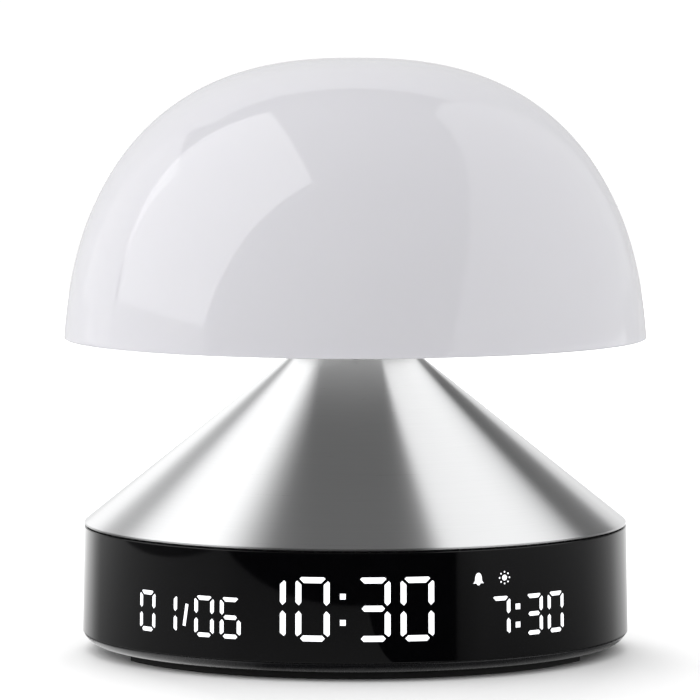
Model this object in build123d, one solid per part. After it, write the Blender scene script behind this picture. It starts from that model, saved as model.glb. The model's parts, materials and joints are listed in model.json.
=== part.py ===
from build123d import *
import math
import os

# A sunrise alarm clock: an opal lamp dome that presses down on a spun aluminium cone, over a
# round base whose glossy black band carries a lit clock display.
# Millimetres. +Z up, origin on the table under the middle of the clock, display facing -Y.
# Angles round the clock are degrees from the front (-Y), positive towards +X.

# ------------------------------------------------------------------ driving sizes

# Dome: a superellipse turned about Z and cut flat at its rim.
dome_top_z = 134.3
dome_rim_z = 70.8
dome_rim_radius = 66.2
dome_squareness = 2.46
dome_below_rim = 13.0
dome_wall = 2.4
dome_rim_round = 0.5

# Head: what moves down with the dome when it is pressed.
head_travel = 1.2
plate_recess = 2.4
plate_wall = 2.0
plate_skirt_height = 4.0
plate_hole_radius = 12.0
platform_radius = 20.0
platform_wall = 2.0
platform_z = 74.0
stem_radius = 7.0
stem_bore_radius = 5.0
stem_bottom_z = 42.0
spring_cover_radius = 12.0
spring_cover_wall = 1.5
clip_wall = 0.9
clip_radius = 9.2
clip_groove_depth = 0.7
clip_mouth_angle = 70.0
lead_slot_z = 43.3
lead_slot_height = 7.3
lead_slot_width = 3.8
plug_flange_radius = 6.4
plug_flange = 1.0
plug_depth = 1.2
plug_nub_radius = 2.0
plug_nub = 1.4

# Lamp on top of the platform.
heatsink_radius = 18.0
heatsink_wall = 2.0
heatsink_hole_radius = 4.0
led_board_radius = 17.5
led_board_wall = 1.6
led_size = 2.8
led_height = 0.9
led_ring_radius = 11.0
led_ring_count = 12
led_core_radius = 5.4
led_core_count = 4
lamp_screw_circle = 15.2

# Cone.
cone_step = 0.05
cone_lip = 0.45
cone_top_radius = 13.8
cone_top_z = 67.5
cone_wall = 1.2
cone_mouth_radius = 10.2
cone_edge_round = 0.25

# Black band and the dark line between band and cone.
band_bottom_z = 4.2
band_top_z = 28.3
band_bottom_radius = 62.05
band_draft = 0.4
band_wall = 2.65
band_edge = 0.2
seam_height = 0.4
seam_recess = 1.05

# Tray and feet.
foot_height = 1.9
foot_inset = 2.8
foot_width = 6.5
foot_seat = 0.8
foot_half_angle = 63.0
foot_round = 0.3
tray_tuck = 2.85
tray_floor = 2.0
tray_seam = 0.1
tray_step = 0.15
tray_rim_wall = 1.6
tray_rim_height = 4.1
tray_bulge = 0.6
pilot_skin = 0.6

# Chassis inside the band.
chassis_wall = 2.0
chassis_flange_wall = 1.6
chassis_flange_width = 4.4
deck_z = 23.6
deck_wall = 1.8
deck_hole_radius = 8.0
spigot_inset = 3.1
spigot_wall = 2.5
spigot_height = 1.0

# Posts and screws that hold tray and chassis together.
post_inset = 10.41
post_angle = 24.95
post_radius = 3.6
post_joint_z = 13.8
tray_screw_radius = 1.2
tray_screw_head_radius = 2.4
tray_screw_head = 1.6
tray_screw_seat_z = 5.4
tray_screw_tip_z = 21.0

# Column and bushing that clamp the cone and guide the stem.
bushing_radius = 10.0
bushing_bottom_z = 52.0
bushing_flange_radius = 13.4
bushing_flange = 1.5
spring_pocket_radius = 9.3
spring_pocket_depth = 3.5
spring_radius = 8.2
spring_wire_radius = 0.4
spring_turns = 5.0
column_wall = 1.9
column_foot_radius = 17.6
column_foot = 2.0
column_head_radius = 13.2
column_head = 3.5
column_ledge_z = 30.6
column_ledge = 1.4
column_ledge_wall = 1.5
column_screw_circle = 15.0
column_boss_radius = 2.6
column_boss_depth = 4.0
neck_screw_circle = 11.65
neck_screw_length = 5.0

# Switch under the stem.
switch_board_wall = 1.6
switch_size = 12.0
switch_height = 4.0
plunger_radius = 1.7
plunger_sunk = 1.6

# Small fasteners: shank radius, head radius, head height.
screw_tip_gap = 0.4
small_screw = (0.95, 1.9, 1.1)
short_screw_length = 3.5
neck_screw = (0.75, 1.4, 0.8)

# Main board, a ring round the column.
board_radius = 38.0
board_hole_radius = 19.0
board_wall = 1.6
board_standoff = 3.0
board_standoff_radius = 2.6
board_screw_circle = 34.0

# What stands on the main board. Each row starts with its angle from +X and its distance in from the
# board's edge. Chips and plug headers go on with turn, length, width and height.
chips = [(-163.5, 9.84, 20, 10.0, 10.0, 1.4), (-111.04, 10.14, 0, 7.0, 5.0, 1.6),
         (149.74, 10.21, 35, 7.0, 3.2, 2.4), (-61.7, 8.47, 0, 5.0, 6.0, 1.5)]
capacitors = [(9.46, 13.67), (-14.53, 10.11), (105.42, 7.92)]
capacitor_radius = 3.1
capacitor_height = 7.5
capacitor_edge = 0.5
battery_header = (-38.93, 4.58, 51, 6.4, 4.2, 3.0)
speaker_header = (51.34, 5.98, -39, 6.4, 4.2, 3.0)
power_header = (139.76, 3.94, 50, 6.4, 4.2, 3.0)
lamp_header = (90.0, 11.0, 0, 6.4, 4.2, 3.0)
display_header = (-90.0, 6.0, 0, 10.0, 4.2, 3.0)

# Power board and its charging socket.
power_board_width = 22.0
power_board_length = 21.0
power_board_inset = 1.4
power_board_z = 6.0
power_board_wall = 1.6
power_post_x = 8.0
power_post_inset = 4.0
power_post_radius = 2.3
usb_width = 8.94
usb_height = 3.26
usb_length = 7.4
usb_wall = 0.3
usb_set_back = 0.35
usb_tongue_width = 6.7
usb_tongue_wall = 0.7
usb_tongue_length = 4.8
usb_hole_clearance = 0.17
usb_notch_width = 25.0
usb_notch_top_z = 13.0
usb_notch_depth = 12.0

# Battery.
battery_radius = 9.1
battery_length = 65.0
battery_room = 2.72
battery_lift = 0.4
battery_edge = 0.8
battery_nub_radius = 2.75
battery_nub = 0.8
battery_tab = 0.25
battery_tab_width = 5.0
cradle_x = 20.0
cradle_wall = 2.0
cradle_height = 6.5
cradle_width = 16.0
pad_length = 30.0
pad_width = 9.0

# Speaker, facing down, between the battery and the power board.
speaker_shift = 0.45
speaker_radius = 20.0
speaker_flange = 1.0
speaker_flange_width = 2.6
speaker_depth = 6.0
speaker_skin = 0.8
speaker_back_radius = 11.6
gasket_height = 1.2
magnet_radius = 10.5
magnet_height = 5.0
speaker_ear_circle = 22.6
speaker_ear_radius = 2.4
speaker_window_radius = 2.6
cone_paper = 0.5
paper_roll = 1.5
paper_lift = 0.3
paper_rise = 0.4
paper_cap_radius = 5.0
paper_cap_sink = 1.4
paper_cup_gap = 1.2
magnet_edge = 0.5
gasket_step = 0.3
grille_hole_radius = 0.9
grille_ring_step = 3.6
grille_rings = 4

# Rear buttons and their switches.
button_names = ("light", "alarm", "clock", "minus", "plus")
button_angle_step = 11.0
button_z = 19.5
button_radius = 3.0
button_flange_radius = 3.8
button_flange = 0.8
button_flange_gap = 0.3
button_proud = 0.6
button_round = 0.3
button_hole_clearance = 0.15
button_travel = 0.3
key_switch_size = 3.6
key_switch_height = 1.1
key_dome_radius = 0.9
key_dome_height = 0.2
key_strip_wall = 0.2
key_strip_height = 10.0
key_strip_half_angle = 31.0

# Display. Arc lengths are measured on the band's bore-to-face middle radius.
time_digit = (7.7, 14.2, 1.48)
small_digit = (5.3, 9.2, 1.12)
time_arc = -2.7
time_z = 15.95
time_digit_pitch = 9.72
time_pair_gap = 5.55
small_z = 13.35
small_digit_pitch = 6.65
date_arc = -39.9
date_pair_gap = 4.7
alarm_arc = 37.95
alarm_pair_gap = 3.85
colon_dot = 1.25
colon_half_spread = 2.85
small_colon_dot = 1.25
small_colon_half_spread = 2.0
slash_length = 5.1
slash_width = 0.95
slash_lean = 9.0
icon_z = 21.9
bell_angle = 25.8
bell_width = 2.6
bell_height = 2.8
sun_angle = 31.9
sun_disc_radius = 0.7
sun_ray_circle = 1.28
sun_ray_radius = 0.26
sun_rays = 8
window_clearance = 0.03
light_box_bottom_z = 8.2
light_box_top_z = 26.4
light_box_gap = 0.3
light_box_from = -60.0
light_box_to = 57.0
flex_wall = 0.3
chip_size = 0.9
chip_height = 0.5

# Clearances.
seat_gap = 0.05
fit_gap = 0.1
plate_gap = 0.15
running_gap = 0.05
stop_gap = 0.05
bore_gap = 0.1

# Leads: bend points are chosen along the free space between the parts. A hole in the deck has its
# angle from +X and its distance in from the chassis wall.
lead_radius = 0.8
lead_path_shift = 0.2
lead_hole_radius = 2.6
lead_drop = 4.5
lead_crest = 4.0
lead_turn = 3.0
lead_bend = 5.0
battery_lead_hole = (-37.09, 3.0)
speaker_lead_hole = (47.64, 8.39)
power_lead_hole = (127.12, 8.0)
speaker_lead_angle = 55.0
power_lead_x = -4.0
power_lead_inset = 10.0
ribbon_width = 8.0
ribbon_wall = 0.3
ribbon_gate = 3.0
ribbon_gate_inset = 7.4
ribbon_door_z = 20.0
ribbon_play = 1.0
ribbon_bend = 1.0

# How far a cut runs past the face it starts from.
over = 1.0

SEGMENTS = {"0": "abcdef", "1": "bc", "3": "abcdg", "6": "acdefg", "7": "abc"}
BASE = (Align.CENTER, Align.CENTER, Align.MIN)

# ------------------------------------------------------------------ worked-out places

def around(circle, angles, y_centre=0.0):
    """The (x, y) places on a circle at the angles, counted from +X."""
    turns = [math.radians(angle) for angle in angles]
    return [(circle * math.cos(turn), y_centre + circle * math.sin(turn)) for turn in turns]


def inside(circle, place):
    """The (x, y) of a place given by its angle from +X and its distance in from a circle."""
    return around(circle - place[1], place[:1])[0]


dome_height = dome_top_z - dome_rim_z
band_top_radius = band_bottom_radius - band_draft
band_bore_radius = band_bottom_radius - band_wall
band_radius = (band_bottom_radius + band_top_radius) / 2
seam_radius = band_bottom_radius - seam_recess
cone_base_radius = band_top_radius - cone_step
spigot_radius = cone_base_radius - spigot_inset
cone_bottom_z = band_top_z + seam_height
cone_lip_z = cone_bottom_z + cone_lip
cone_slope = (cone_base_radius - cone_top_radius) / (cone_top_z - cone_lip_z)
cone_side_wall = cone_wall * math.hypot(1, cone_slope)
cone_underside_z = cone_top_z - cone_wall
tray_bottom_z = foot_height
tray_underside_radius = band_bottom_radius - tray_tuck
foot_radius = tray_underside_radius - foot_inset
tray_floor_z = tray_bottom_z + tray_floor
tray_rim_radius = band_bore_radius - fit_gap
tray_rim_top_z = tray_floor_z + tray_rim_height
deck_top_z = deck_z + deck_wall
button_stack = (seat_gap + key_strip_wall + key_switch_height + key_dome_height + button_travel + stop_gap
                + button_flange + button_flange_gap)
chassis_radius = band_bore_radius - button_stack
chassis_bore_radius = chassis_radius - chassis_wall
chassis_flange_bore_radius = chassis_radius - chassis_flange_width
posts = around(chassis_radius - post_inset, (post_angle, -post_angle, 180 - post_angle, 180 + post_angle))
power_board_back_y = band_bore_radius - power_board_inset
power_board_front_y = power_board_back_y - power_board_length
power_post_y = power_board_front_y + power_post_inset
power_posts = [(-power_post_x, power_post_y), (power_post_x, power_post_y)]
column_bore_radius = bushing_radius + bore_gap
column_radius = column_bore_radius + column_wall
column_screws_at = around(column_screw_circle, (30, 150, 270))
neck_screws_at = around(neck_screw_circle, (90, 210, 330))
bushing_bore_radius = stem_radius + running_gap
bushing_top_z = cone_top_z + bushing_flange
spring_floor_z = bushing_top_z - spring_pocket_depth
clip_top_z = bushing_bottom_z - stop_gap
spring_cover_bottom_z = bushing_top_z + head_travel + fit_gap
plate_z = platform_z + platform_wall
heatsink_z = plate_z + plate_wall
led_board_z = heatsink_z + heatsink_wall
led_board_top_z = led_board_z + led_board_wall
lamp_screws_at = around(lamp_screw_circle, (30, 150, 270))
plug_bottom_z = stem_bottom_z - plug_flange
plunger_top_z = plug_bottom_z - plug_nub
switch_board_z = column_ledge_z + column_ledge
lead_path_radius = (plug_flange_radius + column_bore_radius) / 2 + lead_path_shift
switch_z = switch_board_z + switch_board_wall
switch_top_z = switch_z + switch_height
board_z = deck_top_z + board_standoff
board_top_z = board_z + board_wall
board_screws_at = around(board_screw_circle, (0, 120, 240))
usb_z = power_board_z + power_board_wall + usb_height / 2
usb_mouth_y = band_bottom_radius - usb_set_back
battery_z = tray_floor_z + battery_lift + battery_radius
battery_end_x = battery_length / 2 + battery_nub + battery_tab
battery_y = battery_radius + battery_room - math.sqrt(chassis_bore_radius ** 2 - battery_end_x ** 2)
speaker_y = (battery_y + battery_radius + power_board_front_y) / 2 + speaker_shift
speaker_z = tray_floor_z + gasket_height
speaker_ear_angles = (0, 180, 270)
speaker_ears_at = around(speaker_ear_circle, speaker_ear_angles, speaker_y)
magnet_z = speaker_z + speaker_flange + speaker_depth
key_strip_radius = chassis_radius + seat_gap + key_strip_wall
key_switch_top = key_strip_radius + key_switch_height + key_dome_height
button_back = key_switch_top + button_travel + stop_gap
flex_radius = chassis_radius + seat_gap + flex_wall
ribbon_gate_y = chassis_radius - ribbon_gate_inset
lead_holes = [inside(chassis_bore_radius, hole)
              for hole in (battery_lead_hole, speaker_lead_hole, power_lead_hole)]


# ------------------------------------------------------------------ helpers

def tube(outer, inner, bottom_z, top_z):
    """A round tube about the Z axis."""
    height = top_z - bottom_z
    return Pos(0, 0, bottom_z) * (Cylinder(outer, height, align=BASE) - Cylinder(inner, height, align=BASE))


def rod(radius, bottom_z, top_z, x=0, y=0):
    """A round bar parallel to Z."""
    return Pos(x, y, bottom_z) * Cylinder(radius, top_z - bottom_z, align=BASE)


def rods(radius, bottom_z, top_z, places):
    """A round bar parallel to Z at each (x, y) place."""
    return [rod(radius, bottom_z, top_z, x, y) for x, y in places]


def turned(*points):
    """The (radius, z) outline turned about Z."""
    return revolve(Plane.XZ * make_face(Polyline(*points, close=True)), Axis.Z)


def sector(outer, inner, bottom_z, top_z, from_angle, to_angle):
    """A stretch of a tube between two angles from the front."""
    outline = Plane.XZ * make_face(
        Polyline((inner, bottom_z), (outer, bottom_z), (outer, top_z), (inner, top_z), close=True))
    return Rot(0, 0, from_angle - 90) * revolve(outline, Axis.Z, revolution_arc=to_angle - from_angle)


def at_angle(angle, z):
    """A plane through the axis whose normal points outwards at an angle from the front, x to the right."""
    a = math.radians(angle)
    return Plane(origin=(0, 0, z), x_dir=(math.cos(a), math.sin(a), 0), z_dir=(math.sin(a), -math.cos(a), 0))


def outward(plane, sketch, from_radius, to_radius):
    """A sketch on an at_angle plane, made solid between two distances from the axis."""
    return extrude(plane.offset(from_radius) * sketch, amount=to_radius - from_radius)


def screw(x, y, seat_z, tip_z, sizes, head_up=True):
    """A round-headed screw with its head on seat_z and a cross recess."""
    shank_radius, head_radius, head_height = sizes
    away = 1 if head_up else -1
    low, high = sorted((seat_z, tip_z))
    shank = rod(shank_radius, low, high, x, y)
    head_low, head_high = sorted((seat_z, seat_z + away * head_height))
    head = rod(head_radius, head_low, head_high, x, y)
    slot = head_radius * 0.3
    recess_z = seat_z + away * head_height * 0.75
    cross = Box(head_radius * 1.3, slot, head_height / 2) + Box(slot, head_radius * 1.3, head_height / 2)
    return shank + head - Pos(x, y, recess_z) * cross


def screws(seat_z, tip_z, sizes, places, head_up=True):
    """Like screws, kept as separate solids in one node."""
    return together([screw(x, y, seat_z, tip_z, sizes, head_up) for x, y in places])


def together(solids):
    """Separate solids kept apart in one node."""
    return Compound(children=[part for solid in solids for part in solid.solids()])


# ------------------------------------------------------------------ dome and head

def dome_axes(inset=0.0):
    """Half width and height of the dome's superellipse. Inset moves it into the wall."""
    height = dome_height + dome_below_rim
    share = (dome_below_rim / height) ** dome_squareness
    return dome_rim_radius / (1 - share) ** (1 / dome_squareness) - inset, height - inset


def dome_point(angle, inset=0.0):
    """A point on the dome's outline; 90 degrees is the crown."""
    half_width, height = dome_axes(inset)
    a = math.radians(angle)
    power = 2 / dome_squareness
    equator_z = dome_rim_z - dome_below_rim
    return half_width * max(math.cos(a), 0) ** power, equator_z + height * math.sin(a) ** power


def dome_radius_at(z, inset=0.0):
    """The dome's radius at a height."""
    half_width, height = dome_axes(inset)
    share = (z - dome_rim_z + dome_below_rim) / height
    return half_width * (1 - share ** dome_squareness) ** (1 / dome_squareness)


def dome_curve(inset):
    """The dome's outline from crown to rim as one smooth curve."""
    height = dome_axes(inset)[1]
    rim_angle = math.degrees(math.asin((dome_below_rim / height) ** (dome_squareness / 2)))
    steps = 14
    points = [dome_point(90 - (90 - rim_angle) * i / steps, inset) for i in range(steps)]
    points[0] = (0, points[0][1])
    return Spline(*points, (dome_radius_at(dome_rim_z, inset), dome_rim_z), tangents=[(1, 0), (0.06, -1)])


def make_dome():
    outer, inner = dome_curve(0), dome_curve(dome_wall)
    edges = [outer, Line(outer @ 1, inner @ 1), inner, Line(inner @ 0, outer @ 0)]
    shell = revolve(Plane.XZ * make_face(edges), Axis.Z)
    rim = shell.edges().filter_by(GeomType.CIRCLE).group_by(Axis.Z)[0]
    return fillet(rim, dome_rim_round)


def make_underside_plate():
    """Opal plate that closes the dome from below; its raised edge is bonded inside the dome."""
    edge_z = dome_rim_z + plate_recess
    skirt_top_z = edge_z + plate_skirt_height
    inset = dome_wall + plate_gap
    low_radius, high_radius = dome_radius_at(edge_z, inset), dome_radius_at(skirt_top_z, inset)
    return turned(
        (plate_hole_radius, plate_z), (platform_radius, plate_z), (low_radius, edge_z),
        (high_radius, skirt_top_z), (high_radius - plate_wall, skirt_top_z),
        (high_radius - plate_wall, edge_z + plate_wall), (platform_radius, plate_z + plate_wall),
        (plate_hole_radius, plate_z + plate_wall)) - lamp_screw_holes(bore_gap)


def lamp_screw_holes(gap):
    return rods(small_screw[0] + gap, platform_z - over, led_board_top_z + over, lamp_screws_at)


def make_head_stem():
    """Hollow stem with the platform that carries the lamp and a collar that hides the spring."""
    stem = tube(stem_radius, stem_bore_radius, stem_bottom_z, plate_z)
    platform = tube(platform_radius, stem_bore_radius, platform_z, plate_z)
    cover_bore_radius = spring_cover_radius - spring_cover_wall
    cover = tube(spring_cover_radius, cover_bore_radius, spring_cover_bottom_z, platform_z)
    groove_bottom_z = clip_top_z - clip_wall - stop_gap
    groove = tube(stem_radius + 1, stem_radius - clip_groove_depth, groove_bottom_z, clip_top_z + stop_gap)
    slot = Pos(0, stem_radius, lead_slot_z + lead_slot_height / 2) * Box(
        lead_slot_width, 2 * stem_radius, lead_slot_height)
    return stem + platform + cover - groove - slot - lamp_screw_holes(running_gap)


def make_stem_clip():
    bore_radius = stem_radius - clip_groove_depth + running_gap
    ring = tube(clip_radius, bore_radius, clip_top_z - clip_wall, clip_top_z)
    mouth = sector(clip_radius + 1, 0, clip_top_z - 2 * clip_wall, clip_top_z + clip_wall,
                   -clip_mouth_angle / 2, clip_mouth_angle / 2)
    return ring - mouth


def make_stem_plug():
    body = rod(stem_bore_radius - running_gap, stem_bottom_z, stem_bottom_z + plug_depth)
    flange = rod(plug_flange_radius, plug_bottom_z, stem_bottom_z)
    return body + flange + rod(plug_nub_radius, plunger_top_z, plug_bottom_z)


def make_heatsink():
    return tube(heatsink_radius, heatsink_hole_radius, heatsink_z, led_board_z) - lamp_screw_holes(
        bore_gap)


def make_led_board():
    return tube(led_board_radius, heatsink_hole_radius / 2, led_board_z, led_board_top_z) - lamp_screw_holes(
        bore_gap)


def make_lamp_leds():
    """A ring of white chips round a ring of coloured ones."""
    chip = Box(led_size, led_size, led_height, align=BASE)
    rings = [(led_ring_radius, led_ring_count), (led_core_radius, led_core_count)]
    places = [Rot(0, 0, 360 * i / n) * Pos(r, 0, led_board_top_z) for r, n in rings for i in range(n)]
    return together([place * chip for place in places])


def make_lamp_screws():
    return screws(led_board_top_z, platform_z + screw_tip_gap, small_screw, lamp_screws_at)


# ------------------------------------------------------------------ cone, neck and column

def make_cone():
    inner_bottom = cone_top_radius + cone_slope * (cone_top_z - cone_bottom_z) - cone_side_wall
    inner_top = cone_top_radius + cone_slope * cone_wall - cone_side_wall
    shell = turned(
        (cone_base_radius, cone_bottom_z), (cone_base_radius, cone_lip_z), (cone_top_radius, cone_top_z),
        (cone_mouth_radius, cone_top_z), (cone_mouth_radius, cone_underside_z),
        (inner_top, cone_underside_z), (inner_bottom, cone_bottom_z))
    rings = shell.edges().filter_by(GeomType.CIRCLE)
    outer_edges = [e for e in rings if e.radius in (cone_base_radius, cone_top_radius)
                   and e.arc_center.Z > cone_bottom_z + cone_lip / 2]
    shell = fillet(outer_edges, min(cone_edge_round, cone_lip / 2))
    return shell - neck_screw_holes(bore_gap)


def neck_screw_holes(gap):
    return rods(neck_screw[0] + gap, cone_top_z - neck_screw_length, bushing_top_z + over, neck_screws_at)


def make_bushing():
    """Collar through the top of the cone; the stem slides in its bore."""
    barrel = tube(bushing_radius, bushing_bore_radius, bushing_bottom_z, bushing_top_z)
    flange = tube(bushing_flange_radius, bushing_bore_radius, cone_top_z, bushing_top_z)
    pocket = rod(spring_pocket_radius, spring_floor_z, bushing_top_z + over)
    head_seat_z = bushing_top_z - neck_screw[2]
    heads = rods(neck_screw[1] + running_gap, head_seat_z, bushing_top_z + over, neck_screws_at)
    return barrel + flange - pocket - heads - neck_screw_holes(bore_gap)


def make_neck_screws():
    seat_z = bushing_top_z - neck_screw[2]
    tip_z = cone_top_z - neck_screw_length + stop_gap
    return screws(seat_z, tip_z, neck_screw, neck_screws_at)


def make_column():
    """Tube that stands on the deck, takes the bushing and clamps the cone from inside."""
    body = tube(column_radius, column_bore_radius, deck_top_z, cone_underside_z)
    foot = tube(column_foot_radius, column_bore_radius, deck_top_z, deck_top_z + column_foot)
    head = tube(column_head_radius, column_bore_radius, cone_underside_z - column_head, cone_underside_z)
    ledge = tube(column_bore_radius + column_wall / 2, column_bore_radius - column_ledge_wall,
                 column_ledge_z, switch_board_z)
    lead_gap = Pos(0, column_bore_radius - lead_slot_width / 2, column_ledge_z) * Box(
        lead_slot_width, lead_slot_width, 4 * column_ledge)
    lead_door = Pos(0, column_radius, deck_top_z + column_foot + lead_slot_width / 2) * Box(
        lead_slot_width, 3 * column_wall, lead_slot_width)
    foot_holes = rods(small_screw[0] + bore_gap, deck_top_z - over, deck_top_z + column_foot + over,
                      column_screws_at)
    return body + foot + head + (ledge - lead_gap) - lead_door - foot_holes - neck_screw_holes(
        running_gap)


def make_column_screws():
    tip_z = deck_z - column_boss_depth + screw_tip_gap
    return screws(deck_top_z + column_foot, tip_z, small_screw, column_screws_at)


def make_return_spring():
    """Coil between the bushing's pocket and the platform."""
    low_z = spring_floor_z + spring_wire_radius + stop_gap
    high_z = platform_z - spring_wire_radius - stop_gap
    height = high_z - low_z
    path = Pos(0, 0, low_z) * Helix(height / spring_turns, height, spring_radius)
    wire = Plane(origin=path @ 0, z_dir=path % 0) * Circle(spring_wire_radius)
    return sweep(wire, path)


def make_switch_board():
    disc = rod(bushing_radius, switch_board_z, switch_z)
    notch_depth = 2 * (bushing_radius - lead_path_radius + lead_radius + lead_path_shift)
    return disc - Pos(0, bushing_radius, switch_board_z) * Box(
        lead_slot_width, notch_depth, 4 * switch_board_wall)


def make_press_switch():
    body = Pos(0, 0, switch_z) * Box(switch_size, switch_size, switch_height, align=BASE)
    well_bottom_z = switch_top_z - plunger_sunk - head_travel - fit_gap
    well = rod(plunger_radius + bore_gap, well_bottom_z, switch_top_z + over)
    return chamfer(body.edges().group_by(Axis.Z)[-1], 0.4) - well


def make_press_plunger():
    return rod(plunger_radius, switch_top_z - plunger_sunk, plunger_top_z)


# ------------------------------------------------------------------ tray, feet and chassis

def make_tray():
    """Dark lower casing: floor with a rounded edge, rim that locates the band, posts and speaker grille."""
    edge_top_z = band_bottom_z - tray_seam
    edge_radius = band_bottom_radius - tray_step
    shoulder = ((tray_underside_radius + edge_radius + tray_bulge) / 2,
                (tray_bottom_z + edge_top_z - tray_bulge) / 2)
    rim_bore_radius = tray_rim_radius - tray_rim_wall
    outline = [
        Line((0, tray_bottom_z), (tray_underside_radius, tray_bottom_z)),
        ThreePointArc((tray_underside_radius, tray_bottom_z), shoulder, (edge_radius, edge_top_z)),
        Polyline((edge_radius, edge_top_z), (tray_rim_radius, edge_top_z), (tray_rim_radius, tray_rim_top_z),
                 (rim_bore_radius, tray_rim_top_z), (rim_bore_radius, tray_floor_z),
                 (0, tray_floor_z), (0, tray_bottom_z))]
    tray = revolve(Plane.XZ * make_face(outline), Axis.Z)
    tray += rods(post_radius, tray_floor_z, post_joint_z, posts)
    tray += rods(power_post_radius, tray_floor_z, power_board_z, power_posts)
    tray += rods(speaker_ear_radius, tray_floor_z, speaker_z, speaker_ears_at)
    rib = Box(cradle_wall, cradle_width, cradle_height, align=BASE)
    tray += [Pos(sx * cradle_x, battery_y, tray_floor_z) * rib for sx in (-1, 1)]
    tray -= battery_barrel(bore_gap)
    tray -= rods(tray_screw_radius + bore_gap, tray_bottom_z - over, post_joint_z + over, posts)
    tray -= rods(tray_screw_head_radius + fit_gap, tray_bottom_z - over, tray_screw_seat_z, posts)
    pilot = small_screw[0] + running_gap
    pilot_bottom_z = tray_bottom_z + pilot_skin
    tray -= rods(pilot, pilot_bottom_z, power_board_z + over, power_posts)
    tray -= rods(pilot, pilot_bottom_z, speaker_z + over, speaker_ears_at)
    tray -= grille_holes()
    tray -= Pos(0, tray_rim_radius, tray_floor_z) * Box(
        usb_notch_width, usb_notch_depth, tray_rim_height + over, align=BASE)
    return tray - foot_grooves()


def grille_holes():
    """One hole in the middle and six more in each ring outwards."""
    places = [(0, speaker_y)]
    for ring in range(1, grille_rings + 1):
        count = 6 * ring
        places += around(ring * grille_ring_step, [360 * i / count for i in range(count)], speaker_y)
    return rods(grille_hole_radius, tray_bottom_z - over, tray_floor_z + over, places)


def foot_arc(grow, low_z, high_z, middle):
    """A stretch of foot round an angle, or the groove for it when grown."""
    reach = foot_half_angle + math.degrees(grow / foot_radius)
    return sector(foot_radius + grow, foot_radius - foot_width - grow, low_z, high_z,
                  middle - reach, middle + reach)


def foot_grooves():
    groove_top_z = tray_bottom_z + foot_seat
    return [foot_arc(seat_gap, tray_bottom_z - over, groove_top_z, middle) for middle in (0, 180)]


def make_foot(middle):
    foot = foot_arc(0, 0, tray_bottom_z + foot_seat - seat_gap, middle)
    return fillet(foot.edges().group_by(Axis.Z)[0], foot_round)


def make_tray_screws():
    sizes = (tray_screw_radius, tray_screw_head_radius, tray_screw_head)
    return screws(tray_screw_seat_z, tray_screw_tip_z, sizes, posts, head_up=False)


def make_chassis():
    """Frame inside the band: wall, deck, seam ring under the cone, posts and bosses."""
    body = tube(chassis_radius, chassis_bore_radius, tray_floor_z, band_top_z)
    body += tube(tray_rim_radius, chassis_flange_bore_radius, band_top_z - chassis_flange_wall, band_top_z)
    body += tube(seam_radius, chassis_flange_bore_radius, band_top_z, cone_bottom_z)
    body += tube(spigot_radius, spigot_radius - spigot_wall, cone_bottom_z, cone_bottom_z + spigot_height)
    body += tube(chassis_radius - chassis_wall / 2, deck_hole_radius, deck_z, deck_top_z)
    body += rods(post_radius, post_joint_z, deck_z, posts)
    body += rods(column_boss_radius, deck_z - column_boss_depth, deck_z, column_screws_at)
    body += rods(board_standoff_radius, deck_top_z, board_z, board_screws_at)
    body -= rods(tray_screw_radius + running_gap, post_joint_z - over, deck_z - screw_tip_gap, posts)
    pilot = small_screw[0] + running_gap
    body -= rods(pilot, deck_z - column_boss_depth, deck_top_z + over, column_screws_at)
    body -= rods(pilot, deck_top_z - deck_wall / 2, board_z + over, board_screws_at)
    body -= Pos(0, chassis_radius, tray_floor_z) * Box(
        usb_notch_width, usb_notch_depth, usb_notch_top_z - tray_floor_z, align=BASE)
    body -= rods(lead_hole_radius, deck_z - over, deck_top_z + over, lead_holes)
    gate = ribbon_width + 2 * ribbon_play
    body -= Pos(0, -ribbon_gate_y, deck_z) * Box(gate, ribbon_gate, 4 * deck_wall)
    body -= Pos(0, -chassis_radius, ribbon_door_z) * Box(gate, 3 * chassis_wall, ribbon_gate)
    return body


# ------------------------------------------------------------------ band and display

def band_blank(inner=band_bore_radius):
    return turned((inner, band_bottom_z), (band_bottom_radius, band_bottom_z),
                  (band_top_radius, band_top_z), (inner, band_top_z))


def segment_outline(name, digit):
    """One bar of a seven-segment digit, as points in a box from (0, 0) to (width, height)."""
    width, height, t = digit
    middle = 0.515 * height
    if name in "bc":
        return [(width - x, y) for x, y in segment_outline({"b": "f", "c": "e"}[name], digit)]
    if name == "a":
        top = height
        return [(0.58 * t, top - 0.31 * t), (0.89 * t, top), (width - 0.89 * t, top),
                (width - 0.58 * t, top - 0.31 * t), (width - 1.27 * t, top - t), (1.27 * t, top - t)]
    if name == "d":
        return [(0.68 * t, 0.5 * t), (1.15 * t, t), (width - 1.15 * t, t),
                (width - 0.68 * t, 0.5 * t), (width - 1.15 * t, 0), (1.15 * t, 0)]
    if name == "g":
        return [(0.8 * t, middle), (1.25 * t, middle + t / 2), (width - 1.25 * t, middle + t / 2),
                (width - 0.8 * t, middle), (width - 1.25 * t, middle - t / 2), (1.25 * t, middle - t / 2)]
    if name == "f":
        return [(0, height - 0.82 * t), (0.32 * t, height - 0.53 * t), (t, height - 1.17 * t),
                (t, middle + 0.85 * t), (0.56 * t, middle + 0.32 * t), (0, middle + 0.85 * t)]
    return [(0, 1.05 * t), (0.33 * t, 0.7 * t), (t, 1.23 * t),
            (t, middle - 0.85 * t), (0.56 * t, middle - 0.32 * t), (0, middle - 0.85 * t)]


def outline_face(points, dx=0.0, dy=0.0):
    return make_face(Polyline(*[(x + dx, y + dy) for x, y in points], close=True))


def arc_angle(arc):
    """The angle that an arc length on the band takes."""
    return math.degrees(arc / band_radius)


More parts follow.
